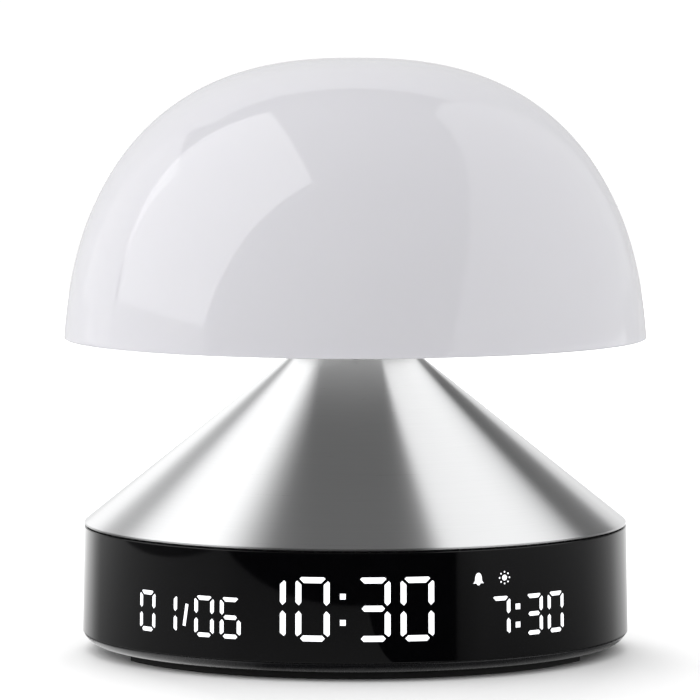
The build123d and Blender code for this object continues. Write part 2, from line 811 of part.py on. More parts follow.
def digit_marks(text, arc, z, digit, pitch, pair_gap):
    """(plane, face) for each lit bar of four digits in two pairs; a space is a dark digit."""
    width, height, _ = digit
    near, far = pair_gap / 2 + width / 2, pair_gap / 2 + width / 2 + pitch
    marks = []
    for character, offset in zip(text, (-far, -near, near, far)):
        plane = at_angle(arc_angle(arc + offset), z)
        for name in SEGMENTS.get(character, ""):
            marks.append((plane, outline_face(segment_outline(name, digit), -width / 2, -height / 2)))
    return marks


def colon_marks(arc, z, dot, half_spread):
    plane = at_angle(arc_angle(arc), z)
    return [(plane, Pos(0, side * half_spread) * Rectangle(dot, dot)) for side in (-1, 1)]


def time_marks():
    return (digit_marks("1030", time_arc, time_z, time_digit, time_digit_pitch, time_pair_gap)
            + colon_marks(time_arc, time_z, colon_dot, colon_half_spread))


def date_marks():
    slash = Rot(0, 0, -slash_lean) * Rectangle(slash_width, slash_length)
    return (digit_marks("0106", date_arc, small_z, small_digit, small_digit_pitch, date_pair_gap)
            + [(at_angle(arc_angle(date_arc), small_z), slash)])


def alarm_marks():
    return (digit_marks(" 730", alarm_arc, small_z, small_digit, small_digit_pitch, alarm_pair_gap)
            + colon_marks(alarm_arc, small_z, small_colon_dot, small_colon_half_spread))


def bell_marks():
    """A bell: round shoulders, flared mouth and a clapper below."""
    half, tall = bell_width / 2, bell_height
    mouth_z, waist_z, top_z = -0.32 * tall, -0.08 * tall, 0.5 * tall
    waist = 0.64 * half
    clapper = 0.34 * half
    body = make_face([
        Line((clapper, mouth_z), (half, mouth_z)),
        ThreePointArc((half, mouth_z), (0.77 * half, -0.22 * tall), (waist, waist_z)),
        ThreePointArc((waist, waist_z), (0.5 * half, 0.32 * tall), (0, top_z)),
        ThreePointArc((0, top_z), (-0.5 * half, 0.32 * tall), (-waist, waist_z)),
        ThreePointArc((-waist, waist_z), (-0.77 * half, -0.22 * tall), (-half, mouth_z)),
        Line((-half, mouth_z), (-clapper, mouth_z)),
        ThreePointArc((-clapper, mouth_z), (0, mouth_z - clapper), (clapper, mouth_z))])
    return [(at_angle(bell_angle, icon_z), body)]


def sun_marks():
    plane = at_angle(sun_angle, icon_z)
    places = around(sun_ray_circle, [360 * i / sun_rays for i in range(sun_rays)])
    rays = [(plane, Pos(x, y) * Circle(sun_ray_radius)) for x, y in places]
    return [(plane, Circle(sun_disc_radius))] + rays


def all_marks():
    return time_marks() + date_marks() + alarm_marks() + bell_marks() + sun_marks()


def through_band(plane, sketch):
    """A sketch made solid right through the band's wall."""
    return outward(plane, sketch, band_bore_radius - over, band_bottom_radius + over)


def make_lit(marks):
    """Clear light guides that fill windows through the band and end flush with its face."""
    blank = band_blank()
    return together([through_band(plane, face) & blank for plane, face in marks])


def grown(face, amount):
    """A face made larger all round, with its straight corners kept sharp."""
    straight = all(edge.geom_type == GeomType.LINE for edge in face.edges())
    return offset(face, amount=amount, kind=Kind.INTERSECTION if straight else Kind.ARC)


def make_band():
    """Glossy black band with windows for the display, button holes and the charging slot."""
    band = band_blank()
    rings = band.edges().filter_by(GeomType.CIRCLE)
    band = chamfer([ring for ring in rings if ring.radius > band_bore_radius], band_edge)
    windows = [through_band(plane, grown(face, window_clearance)) for plane, face in all_marks()]
    button_hole = Circle(button_radius + button_hole_clearance)
    holes = [through_band(plane, button_hole) for plane in button_planes()]
    return band - windows - holes - through_band(at_angle(180, usb_z), usb_outline(usb_hole_clearance))


def make_light_box():
    """Black frame behind the band with a well for each lit mark."""
    box = sector(band_bore_radius - light_box_gap, flex_radius + seat_gap,
                 light_box_bottom_z, light_box_top_z, light_box_from, light_box_to)
    wells = [outward(plane, face, flex_radius - over, band_bore_radius + over) for plane, face in all_marks()]
    return box - wells


def make_flex_board():
    board = sector(flex_radius, chassis_radius + seat_gap, light_box_bottom_z, light_box_top_z,
                   light_box_from, light_box_to)
    return board - Pos(0, -flex_radius, ribbon_door_z) * Box(
        ribbon_width + 2 * ribbon_play, ribbon_gate, ribbon_wall + 2 * ribbon_play)


def make_display_leds():
    """One chip on the flex board in the middle of each lit bar's well."""
    chips = []
    for plane, face in all_marks():
        size = min(chip_size, 0.7 * min(face.bounding_box().size.X, face.bounding_box().size.Y))
        middle = face.center(CenterOf.MASS)
        chip = Pos(middle.X, middle.Y) * Rectangle(size, size)
        chips.append(outward(plane, chip, flex_radius + seat_gap, flex_radius + seat_gap + chip_height))
    return together(chips)


# ------------------------------------------------------------------ rear buttons

def button_angles():
    middle = (len(button_names) - 1) / 2
    return [180 + (i - middle) * button_angle_step for i in range(len(button_names))]


def button_planes():
    return [at_angle(angle, button_z) for angle in button_angles()]


def make_button(plane):
    face_radius = band_radius + button_proud
    cap = outward(plane, Circle(button_radius), button_back, face_radius)
    outer_edge = cap.edges().sort_by(lambda edge: (edge.center() - plane.origin).dot(plane.z_dir))[-1]
    cap = fillet(outer_edge, button_round)
    return cap + outward(plane, Circle(button_flange_radius), button_back, button_back + button_flange)


def make_key_strip():
    return sector(key_strip_radius, chassis_radius + seat_gap, button_z - key_strip_height / 2,
                  button_z + key_strip_height / 2, 180 - key_strip_half_angle, 180 + key_strip_half_angle)


def make_key_switches():
    top = key_strip_radius + seat_gap + key_switch_height
    bodies = []
    for plane in button_planes():
        body = outward(plane, Rectangle(key_switch_size, key_switch_size), key_strip_radius + seat_gap, top)
        bodies.append(body + outward(plane, Circle(key_dome_radius), top, key_switch_top))
    return together(bodies)


# ------------------------------------------------------------------ electronics

def on_board(angle, inset, turn, length, width, height):
    """A block on the main board."""
    x, y = inside(board_radius, (angle, inset))
    return Pos(x, y, board_top_z) * Rot(0, 0, turn) * Box(length, width, height, align=BASE)


def header_place(header):
    """Where a lead enters a plug header: x, y and the header's top."""
    return *inside(board_radius, header), board_top_z + header[-1]


def make_main_board():
    board = tube(board_radius, board_hole_radius, board_z, board_top_z)
    return board - rods(small_screw[0] + bore_gap, board_z - over, board_top_z + over, board_screws_at)


def make_short_screws():
    """Screws of one kind that hold the main board, the power board and the speaker."""
    seats = [(board_top_z, board_screws_at), (power_board_z + power_board_wall, power_posts),
             (speaker_z + speaker_flange, speaker_ears_at)]
    return together([screws(z, z - short_screw_length, small_screw, places) for z, places in seats])


def make_chips():
    """Controller, sound chip, clock crystal and LED driver."""
    return together([on_board(*chip) for chip in chips])


def make_capacitors():
    cans = [rod(capacitor_radius, board_top_z, board_top_z + capacitor_height, *inside(board_radius, place))
            for place in capacitors]
    return together([fillet(can.edges().group_by(Axis.Z)[-1], capacitor_edge) for can in cans])


def make_connectors():
    """Plug headers on the main board, where the leads arrive."""
    return together([on_board(*header) for header in (
        battery_header, speaker_header, power_header, lamp_header, display_header)])


def make_power_board():
    length = power_board_back_y - power_board_front_y
    board = Pos(0, power_board_front_y + length / 2, power_board_z) * Box(
        power_board_width, length, power_board_wall, align=BASE)
    holes = rods(small_screw[0] + bore_gap, power_board_z - over, power_board_z + power_board_wall + over,
                 power_posts)
    return board - holes


def usb_outline(grow):
    height = usb_height + 2 * grow
    return SlotOverall(usb_width + 2 * grow, height)


def make_usb_port():
    plane = at_angle(180, usb_z)
    back_y = usb_mouth_y - usb_length
    shell = outward(plane, usb_outline(0), back_y, usb_mouth_y)
    return shell - outward(plane, usb_outline(-usb_wall), back_y + usb_wall, usb_mouth_y + over)


def make_usb_tongue():
    back = usb_mouth_y - usb_length + usb_wall
    return outward(at_angle(180, usb_z), Rectangle(usb_tongue_width, usb_tongue_wall), back,
                   back + usb_tongue_length)


def battery_barrel(grow):
    length = battery_length + 2 * grow
    return Pos(0, battery_y, battery_z) * Rot(0, 90, 0) * Cylinder(battery_radius + grow, length)


def make_battery():
    half = battery_length / 2
    barrel = fillet(battery_barrel(0).edges().filter_by(GeomType.CIRCLE), battery_edge)
    nub = Pos(half + battery_nub / 2, battery_y, battery_z) * Rot(0, 90, 0) * Cylinder(
        battery_nub_radius, battery_nub)
    return barrel + nub


def make_battery_tabs():
    """Nickel strips welded to the two ends."""
    half = battery_length / 2
    strip = Box(battery_tab, battery_tab_width, 2 * battery_nub_radius)
    return together([Pos(half + battery_nub + battery_tab / 2, battery_y, battery_z) * strip,
                     Pos(-half - battery_tab / 2, battery_y, battery_z) * strip])


def make_battery_pad():
    block = Pos(0, battery_y, battery_z) * Box(pad_length, pad_width, deck_z - battery_z, align=BASE)
    return block - battery_barrel(seat_gap)


def make_speaker_frame():
    """Pressed basket with three ears and four windows."""
    low, flange_top = speaker_z, speaker_z + speaker_flange
    inner = speaker_radius - speaker_flange_width
    basket = turned(
        (inner, low), (speaker_radius, low), (speaker_radius, flange_top), (inner + speaker_skin, flange_top),
        (speaker_back_radius, magnet_z), (0, magnet_z), (0, magnet_z - speaker_skin),
        (speaker_back_radius - speaker_skin, magnet_z - speaker_skin), (inner, flange_top))
    side_hole = Pos(inner, 0, flange_top + speaker_depth / 2) * Rot(0, 90, 0) * Cylinder(
        speaker_window_radius, speaker_radius / 2)
    windows = [Rot(0, 0, angle) * side_hole for angle in (45, 135, 225, 315)]
    arm = Pos(speaker_ear_circle - speaker_ear_radius, 0, low) * Box(
        2 * speaker_ear_radius, 2 * speaker_ear_radius, speaker_flange, align=BASE)
    ears_at = around(speaker_ear_circle, speaker_ear_angles)
    ears = rods(speaker_ear_radius, low, flange_top, ears_at)
    ears += [Rot(0, 0, angle) * arm for angle in speaker_ear_angles]
    cut = rod(speaker_radius - speaker_flange_width / 2, low - over, flange_top + over)
    holes = rods(small_screw[0] + bore_gap, low - over, flange_top + over, ears_at)
    return Pos(0, speaker_y, 0) * (basket - windows + [ear - cut for ear in ears] - holes)


def make_speaker_cone():
    """Paper cone with its roll surround and dust cap."""
    outer = speaker_radius - speaker_flange_width - fit_gap
    low = speaker_z + paper_lift
    fold_z = low + paper_rise
    cup_z = magnet_z - speaker_skin - paper_cup_gap
    rim_z = cup_z - paper_rise
    return Pos(0, speaker_y, 0) * turned(
        (0, cup_z - paper_cap_sink), (paper_cap_radius, rim_z), (outer - 2 * paper_roll, fold_z),
        (outer - paper_roll, low), (outer, low), (outer, low + cone_paper),
        (outer - paper_roll, low + cone_paper), (outer - 2 * paper_roll, fold_z + cone_paper),
        (paper_cap_radius, rim_z + cone_paper), (0, cup_z - paper_cap_sink + cone_paper))


def make_speaker_magnet():
    magnet = rod(magnet_radius, magnet_z, magnet_z + magnet_height)
    return Pos(0, speaker_y, 0) * chamfer(magnet.edges().group_by(Axis.Z)[-1], magnet_edge)


def make_gasket():
    return Pos(0, speaker_y, 0) * tube(speaker_radius - gasket_step, speaker_radius - speaker_flange_width,
                                       tray_floor_z, speaker_z)


# ------------------------------------------------------------------ leads

def lead(points, radius=lead_radius):
    """A round lead along straight runs joined by arcs as large as the runs allow."""
    radii = []
    for before, here, after in zip(points, points[1:], points[2:]):
        a, b = Vector(*here) - Vector(*before), Vector(*after) - Vector(*here)
        half_turn = math.radians(a.get_angle(b)) / 2
        radii.append(0.45 * min(a.length, b.length) / math.tan(half_turn))
    print("lead bend radii", [round(r, 1) for r in radii])
    path = FilletPolyline(*points, radius=radii)
    return sweep(Plane(origin=path @ 0, z_dir=path % 0) * Circle(radius), path)


def make_battery_lead():
    x, y, z = header_place(battery_header)
    hole_x, hole_y = lead_holes[0]
    return lead([(battery_end_x, battery_y, battery_z), ((battery_end_x + hole_x) / 2, battery_y, battery_z),
                 (hole_x, hole_y, battery_z + lead_bend), (hole_x, hole_y + seat_gap, deck_top_z + lead_turn),
                 (hole_x - lead_crest, hole_y + lead_crest / 2, z + lead_crest),
                 (x, y, z + lead_drop), (x, y, z)])


def make_speaker_lead():
    x, y, z = header_place(speaker_header)
    hole_x, hole_y = lead_holes[1]
    start_x, start_y = around(speaker_radius - lead_radius - fit_gap, [speaker_lead_angle], speaker_y)[0]
    start_z = speaker_z + speaker_flange
    return lead([(start_x, start_y, start_z), (start_x, start_y, start_z + 2 * lead_turn),
                 (hole_x, hole_y - seat_gap, deck_z - 2 * lead_turn),
                 (hole_x, hole_y, deck_top_z + lead_turn / 2),
                 (hole_x - lead_turn, hole_y - lead_turn, z + lead_crest), (x, y, z + lead_drop), (x, y, z)])


def make_power_lead():
    x, y, z = header_place(power_header)
    hole_x, hole_y = lead_holes[2]
    start_y = power_board_front_y + power_lead_inset
    low_z = power_board_z + power_board_wall
    return lead([(power_lead_x, start_y, low_z), (power_lead_x, start_y, low_z + lead_bend),
                 (power_lead_x - 2 * lead_bend, start_y - lead_turn, low_z + 2 * lead_drop),
                 (hole_x, hole_y - seat_gap, deck_z - lead_crest), (hole_x, hole_y, deck_top_z + lead_turn),
                 (hole_x, hole_y - lead_crest, z + lead_crest), (x, y, z + lead_drop), (x, y, z)])


def make_lamp_lead():
    """From the lamp board down through the stem, out at its slot and down the column."""
    x, y, z = header_place(lamp_header)
    start_y = heatsink_hole_radius / 2
    door_z = deck_top_z + column_foot + lead_slot_width / 2
    return lead([(0, start_y, led_board_z - stop_gap),
                 (0, start_y, lead_slot_z + lead_slot_height + lead_turn),
                 (0, lead_path_radius, lead_slot_z + lead_radius),
                 (0, lead_path_radius, door_z), (0, column_radius + lead_turn, door_z),
                 (0, y - lead_bend, z + lead_crest), (x, y, z + lead_drop), (x, y, z)])


def make_display_ribbon():
    """Flat cable from the display's flex board to the main board, through the wall and the deck."""
    _, y, z = header_place(display_header)
    points = [(seat_gap - flex_radius, ribbon_door_z), (-ribbon_gate_y - lead_turn, ribbon_door_z),
              (-ribbon_gate_y, ribbon_door_z + lead_turn), (-ribbon_gate_y, deck_top_z + lead_crest),
              (-ribbon_gate_y + lead_bend, z + lead_turn), (y, z + lead_crest), (y, z)]
    path = Plane.YZ * FilletPolyline(*points, radius=ribbon_bend)
    outline = Plane(origin=path @ 0, x_dir=(1, 0, 0), z_dir=path % 0) * Rectangle(ribbon_width, ribbon_wall)
    return sweep(outline, path)


# ------------------------------------------------------------------ nodes

def all_nodes():
    nodes = {
        "dome_diffuser": make_dome(),
        "underside_diffuser": make_underside_plate(),
        "head_stem": make_head_stem(),
        "stem_clip": make_stem_clip(),
        "stem_plug": make_stem_plug(),
        "lamp_heatsink": make_heatsink(),
        "lamp_board": make_led_board(),
        "lamp_leds": make_lamp_leds(),
        "lamp_screws": make_lamp_screws(),
        "press_switch_plunger": make_press_plunger(),
        "cone_shell": make_cone(),
        "neck_bushing": make_bushing(),
        "neck_screws": make_neck_screws(),
        "support_column": make_column(),
        "column_screws": make_column_screws(),
        "return_spring": make_return_spring(),
        "press_switch": make_press_switch(),
        "switch_board": make_switch_board(),
        "front_foot": make_foot(0),
        "rear_foot": make_foot(180),
        "base_tray": make_tray(),
        "tray_screws": make_tray_screws(),
        "chassis": make_chassis(),
        "display_band": make_band(),
        "time_digits": make_lit(time_marks()),
        "date_digits": make_lit(date_marks()),
        "alarm_digits": make_lit(alarm_marks()),
        "bell_icon": make_lit(bell_marks()),
        "sun_icon": make_lit(sun_marks()),
        "display_light_box": make_light_box(),
        "display_flex_board": make_flex_board(),
        "display_leds": make_display_leds(),
        "key_strip": make_key_strip(),
        "key_switches": make_key_switches(),
        "main_board": make_main_board(),
        "short_screws": make_short_screws(),
        "board_chips": make_chips(),
        "board_capacitors": make_capacitors(),
        "board_connectors": make_connectors(),
        "power_board": make_power_board(),
        "usb_port": make_usb_port(),
        "usb_tongue": make_usb_tongue(),
        "battery_cell": make_battery(),
        "battery_tabs": make_battery_tabs(),
        "battery_pad": make_battery_pad(),
        "speaker_frame": make_speaker_frame(),
        "speaker_cone": make_speaker_cone(),
        "speaker_magnet": make_speaker_magnet(),
        "speaker_gasket": make_gasket(),
        "battery_lead": make_battery_lead(),
        "speaker_lead": make_speaker_lead(),
        "power_lead": make_power_lead(),
        "lamp_lead": make_lamp_lead(),
        "display_ribbon": make_display_ribbon(),
    }
    for name, plane in zip(button_names, button_planes()):
        nodes[f"{name}_button"] = make_button(plane)
    return nodes


os.makedirs("parts", exist_ok=True)
for node_name, shape in all_nodes().items():
    export_step(shape, f"parts/{node_name}.step")
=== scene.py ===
# %% [markdown]
# # A sunrise alarm clock
# The clock is an opal lamp dome that floats over a spun aluminium cone, on a round base whose glossy
# black band shows the date, the time and the alarm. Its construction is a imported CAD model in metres,
# with +Z up and the display facing -Y. This lesson loads that model as a fixed frame and gives each
# piece its final surface and finish.

# %% Load the frame
import json
import math

import bmesh
import bpy
from mathutils import Matrix, Vector


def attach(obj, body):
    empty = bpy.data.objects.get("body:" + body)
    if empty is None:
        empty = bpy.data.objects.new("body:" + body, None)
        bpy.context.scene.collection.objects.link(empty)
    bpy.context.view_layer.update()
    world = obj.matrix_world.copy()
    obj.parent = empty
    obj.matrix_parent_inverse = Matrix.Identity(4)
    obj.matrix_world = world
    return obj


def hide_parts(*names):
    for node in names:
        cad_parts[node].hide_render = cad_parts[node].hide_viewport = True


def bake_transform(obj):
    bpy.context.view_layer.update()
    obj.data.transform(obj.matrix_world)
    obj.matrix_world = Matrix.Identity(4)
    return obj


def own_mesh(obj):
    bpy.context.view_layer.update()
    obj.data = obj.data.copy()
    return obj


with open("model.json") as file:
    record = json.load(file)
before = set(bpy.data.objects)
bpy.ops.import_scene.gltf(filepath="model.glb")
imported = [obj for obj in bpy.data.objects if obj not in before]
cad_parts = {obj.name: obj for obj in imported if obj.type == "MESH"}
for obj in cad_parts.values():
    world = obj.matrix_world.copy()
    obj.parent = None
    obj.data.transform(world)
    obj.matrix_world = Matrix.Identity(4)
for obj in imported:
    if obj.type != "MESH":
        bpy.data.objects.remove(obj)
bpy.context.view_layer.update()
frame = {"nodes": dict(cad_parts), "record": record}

MM = 0.001

# %% [markdown]
# ## A small language for nodes
# Shader and geometry trees are full of arithmetic. Each sum could be one Math node placed by hand, but
# a formula is easier to read. A Flow is a number on its way through a tree, and arithmetic on it adds
# the Math nodes.

# %% Flow: formulas as nodes
def feed(tree, value, port):
    """Links a flow or a socket into a port, or sets the port to a plain value."""
    if isinstance(value, Flow):
        tree.links.new(value.socket, port)
    elif isinstance(value, bpy.types.NodeSocket):
        tree.links.new(value, port)
    else:
        port.default_value = value


class Flow:
    """A number in a node tree; sums and products of flows become Math nodes."""

    def __init__(self, tree, socket):
        self.tree, self.socket = tree, socket

    def math(self, operation, *values):
        node = self.tree.nodes.new("ShaderNodeMath")
        node.operation = operation
        for port, value in zip(node.inputs, values):
            feed(self.tree, value, port)
        return Flow(self.tree, node.outputs[0])

    def __add__(self, other):
        return self.math("ADD", self, other)

    def __sub__(self, other):
        return self.math("SUBTRACT", self, other)

    def __rsub__(self, other):
        return self.math("SUBTRACT", other, self)

    def __mul__(self, other):
        return self.math("MULTIPLY", self, other)

    def __truediv__(self, other):
        return self.math("DIVIDE", self, other)

    def __rtruediv__(self, other):
        return self.math("DIVIDE", other, self)

    def __pow__(self, other):
        return self.math("POWER", self, other)

    def __neg__(self):
        return 0.0 - self

    def sin(self):
        return self.math("SINE", self)

    def cos(self):
        return self.math("COSINE", self)

    def at_least(self, low):
        return self.math("MAXIMUM", self, low)

    def at_most(self, high):
        return self.math("MINIMUM", self, high)

    __radd__, __rmul__ = __add__, __mul__


print("Flow is ready")

# %% [markdown]
# Most nodes need their inputs fed as they are made, so one call does both. A vector is split into three
# flows to be worked on, and three flows are joined to be used as a place or a size.

# %% Nodes with their inputs
def node(tree, kind, **inputs):
    """A node with its inputs fed by name; an underscore stands for a space."""
    made = tree.nodes.new(kind)
    for name, value in inputs.items():
        feed(tree, value, made.inputs[name.replace("_", " ")])
    return made


def split(tree, vector):
    """The x, y and z of a vector as flows."""
    return [Flow(tree, output) for output in node(tree, "ShaderNodeSeparateXYZ", Vector=vector).outputs]


def joined(tree, x, y, z):
    """One vector from three values."""
    return node(tree, "ShaderNodeCombineXYZ", X=x, Y=y, Z=z).outputs[0]


print("node, split and joined are ready")

# %% [markdown]
# ## Finishes
# A material needs more than a colour: moulded plastic has a faint grain, metal has drawing lines, and
# rubber has dust. Every finish here starts from one Principled shader. Noise on the piece's own
# coordinates then varies it. The grain's scale is given in lumps per millimetre, because that can be
# measured on a real surface.

# %% Shader and grain
def new_finish(name, **sockets):
    """A material and its tree and shader, with plain values set on the shader's sockets."""
    material = bpy.data.materials.new(name)
    material.use_nodes = True
    shader = material.node_tree.nodes["Principled BSDF"]
    for socket, value in sockets.items():
        shader.inputs[socket.replace("_", " ")].default_value = value
    return material, material.node_tree, shader


def coordinates(tree, kind="Object"):
    """The place of the point that is shaded; the usual kind is in metres on the piece."""
    return tree.nodes.new("ShaderNodeTexCoord").outputs[kind]


def noise(tree, place, scale, detail):
    """Noise from 0 to 1, most of it between 0.3 and 0.7."""
    made = node(tree, "ShaderNodeTexNoise", Vector=place, Scale=scale, Detail=detail)
    return Flow(tree, made.outputs["Fac"])


def grain(tree, per_mm, detail=3.0, stretch=(1.0, 1.0, 1.0)):
    """Noise with so many lumps per millimetre, drawn out along the axes by stretch."""
    mapping = node(tree, "ShaderNodeMapping", Vector=coordinates(tree), Scale=[1 / s for s in stretch])
    return noise(tree, mapping.outputs[0], per_mm / MM, detail)


print("finishes can be started")

# %% [markdown]
# The noise can mix two colours, set the roughness between two limits and raise a slight bump. A plain
# finish does all three with the same noise, because the texture of a mould darkens, dulls and dents a
# surface at the same spots.

# %% What the noise varies
def between(tree, share, low, high):
    """A colour that goes from low to high as share goes from 0 to 1."""
    mix = tree.nodes.new("ShaderNodeMix")
    mix.data_type = "RGBA"
    feed(tree, share, mix.inputs[0])
    mix.inputs[6].default_value, mix.inputs[7].default_value = (*low, 1), (*high, 1)
    return mix.outputs[2]


def spread(tree, share, low, high):
    """A number that goes from low to high as share goes from 0.3 to 0.7, where most noise lies."""
    ramp = node(tree, "ShaderNodeMapRange", Value=share, From_Min=0.3, From_Max=0.7, To_Min=low,
                To_Max=high)
    return Flow(tree, ramp.outputs[0])


def relief(tree, shader, height, depth_mm, strength=1.0):
    """Bump of that depth on the shader."""
    bump = node(tree, "ShaderNodeBump", Height=height, Distance=depth_mm * MM, Strength=strength)
    feed(tree, bump.outputs[0], shader.inputs["Normal"])


def moulded(name, colour, roughness, per_mm=1.2, shade=0.06, depth_mm=0.01, stretch=(1, 1, 1), **sockets):
    """A plain finish with a fine grain in its colour, its gloss and its surface."""
    material, tree, shader = new_finish(name, **sockets)
    lumps = grain(tree, per_mm, stretch=stretch)
    dark = [c * (1 - shade) for c in colour]
    light = [min(c * (1 + shade), 1) for c in colour]
    feed(tree, between(tree, spread(tree, lumps, 0, 1), dark, light), shader.inputs["Base Color"])
    feed(tree, spread(tree, lumps, roughness * 0.9, roughness * 1.1), shader.inputs["Roughness"])
    relief(tree, shader, lumps, depth_mm, strength=0.5)
    return material


finishes = {}
print("plain finishes can be made")

# %% [markdown]
# ### Opal plastic
# The dome is moulded in a milky plastic with a polished skin. Light enters it, scatters and comes out
# again close by, which softens its shading, so it gets a little subsurface scattering. The skin is a
# clear gloss with a very faint waviness from the mould.

# %% Opal plastic
opal, tree, shader = new_finish("opal_plastic_finish", Subsurface_Weight=0.25, Subsurface_Scale=3 * MM,
                                Subsurface_Radius=(1.0, 1.0, 1.15))
waves = grain(tree, 0.05, detail=1.0)
milk, pale_milk = (0.54, 0.536, 0.563), (0.55, 0.546, 0.573)
feed(tree, between(tree, waves, milk, pale_milk), shader.inputs["Base Color"])
feed(tree, spread(tree, grain(tree, 0.8), 0.05, 0.075), shader.inputs["Roughness"])
relief(tree, shader, waves, 0.02, strength=0.2)
finishes["opal_plastic"] = opal
print("made", opal.name)

# %% [markdown]
# ### Spun aluminium
# The cone is turned against abrasive, so each scratch is part of a ring round the axis. Such a surface
# spreads its highlights across the scratches and hardly along them, which draws bright and dark rays
# from the top to the lip. An anisotropic metal shader with a radial tangent does that, and rings of
# noise that depend only on the radius and the height add the scratches themselves.

# %% Spun aluminium
spun, tree, shader = new_finish("spun_aluminium_finish", Metallic=1.0, Anisotropic=1.0,
                                Anisotropic_Rotation=0.25)
x, y, z = split(tree, coordinates(tree))
radius = ((x * x + y * y) ** 0.5) / MM
height = z / MM
angle = x.math("ARCTAN2", y, x)
rings_per_mm, patches_per_mm, patches_per_radian = 9.0, 5.0, 3.0
in_rings = joined(tree, radius * rings_per_mm, height * rings_per_mm, 0.0)
in_patches = joined(tree, radius * patches_per_mm, angle * patches_per_radian, height * patches_per_mm)
lines = noise(tree, in_rings, 1.0, detail=4.0) * 0.6 + noise(tree, in_patches, 1.0, detail=3.0) * 0.4
grey_metal, pale_metal = (0.84, 0.845, 0.85), (0.90, 0.905, 0.91)
feed(tree, between(tree, spread(tree, lines, 0, 1), grey_metal, pale_metal), shader.inputs["Base Color"])
feed(tree, spread(tree, lines, 0.27, 0.32), shader.inputs["Roughness"])
relief(tree, shader, lines, 0.012, strength=0.5)
tangent = tree.nodes.new("ShaderNodeTangent")
tangent.direction_type, tangent.axis = "RADIAL", "Z"
feed(tree, tangent.outputs[0], shader.inputs["Tangent"])
finishes["spun_aluminium"] = spun
print("made", spun.name)

# %% [markdown]
# ### Gloss black and the lit bars
# The band is smoked plastic polished like glass, so it shows almost nothing but reflections. The bars
# behind it are clear guides lit from behind. They shine by themselves, and a slow noise makes some spots
# a little weaker and cooler, as the light of separate chips does.

# %% Gloss black and lit guides
gloss, tree, shader = new_finish("black_gloss_finish", IOR=1.5)
haze = grain(tree, 0.15)
smoke, pale_smoke = (0.0008, 0.0008, 0.001), (0.0016, 0.0016, 0.002)
feed(tree, between(tree, haze, smoke, pale_smoke), shader.inputs["Base Color"])
feed(tree, spread(tree, haze, 0.025, 0.045), shader.inputs["Roughness"])
finishes["black_gloss"] = gloss

lit, tree, shader = new_finish("lit_guide_finish", Roughness=0.2, Base_Color=(0.6, 0.6, 0.62, 1))
cool_white, white = (0.93, 0.95, 1.0), (1.0, 1.0, 1.0)
feed(tree, between(tree, grain(tree, 0.35), cool_white, white), shader.inputs["Emission Color"])
feed(tree, spread(tree, grain(tree, 0.35, detail=1.0), 0.92, 1.0), shader.inputs["Emission Strength"])
finishes["lit_guide"] = lit
print("made", gloss.name, "and", lit.name)

# %% [markdown]
# ### Circuit boards
# A board's lacquer lies over copper tracks that run straight and turn at set angles. Cell borders
# measured with the chessboard distance run that way, so thin borders serve as tracks, slightly lighter
# and slightly raised.

# %% Boards
def board_finish(name, lacquer, track):
    """Lacquer with copper tracks under it, where two cells are almost equally near."""
    material, tree, shader = new_finish(name, Specular_IOR_Level=0.6)
    distances = []
    for feature in ("F2", "F1"):
        cells = node(tree, "ShaderNodeTexVoronoi", Vector=coordinates(tree), Scale=0.45 / MM, Randomness=0.7)
        cells.distance, cells.feature = "CHEBYCHEV", feature
        distances.append(Flow(tree, cells.outputs["Distance"]))
    border = distances[0] - distances[1]
    line = border.math("LESS_THAN", border, 0.12)
    feed(tree, between(tree, line, lacquer, track), shader.inputs["Base Color"])
    feed(tree, spread(tree, grain(tree, 0.6), 0.32, 0.42), shader.inputs["Roughness"])
    relief(tree, shader, line, 0.02, strength=0.5)
    return material


finishes["green_board"] = board_finish("green_board_finish", (0.012, 0.10, 0.045), (0.03, 0.19, 0.085))
finishes["white_board"] = board_finish("white_board_finish", (0.82, 0.82, 0.80), (0.72, 0.72, 0.70))
finishes["amber_film"] = board_finish("amber_film_finish", (0.45, 0.19, 0.03), (0.60, 0.30, 0.06))
print("made 3 board finishes")

# %% [markdown]
# ### Everything else
# The remaining finishes differ only in numbers: colour, roughness, how fine the grain is, how much it
# shades, and how deep it goes. A table keeps them side by side, which makes them easy to compare.

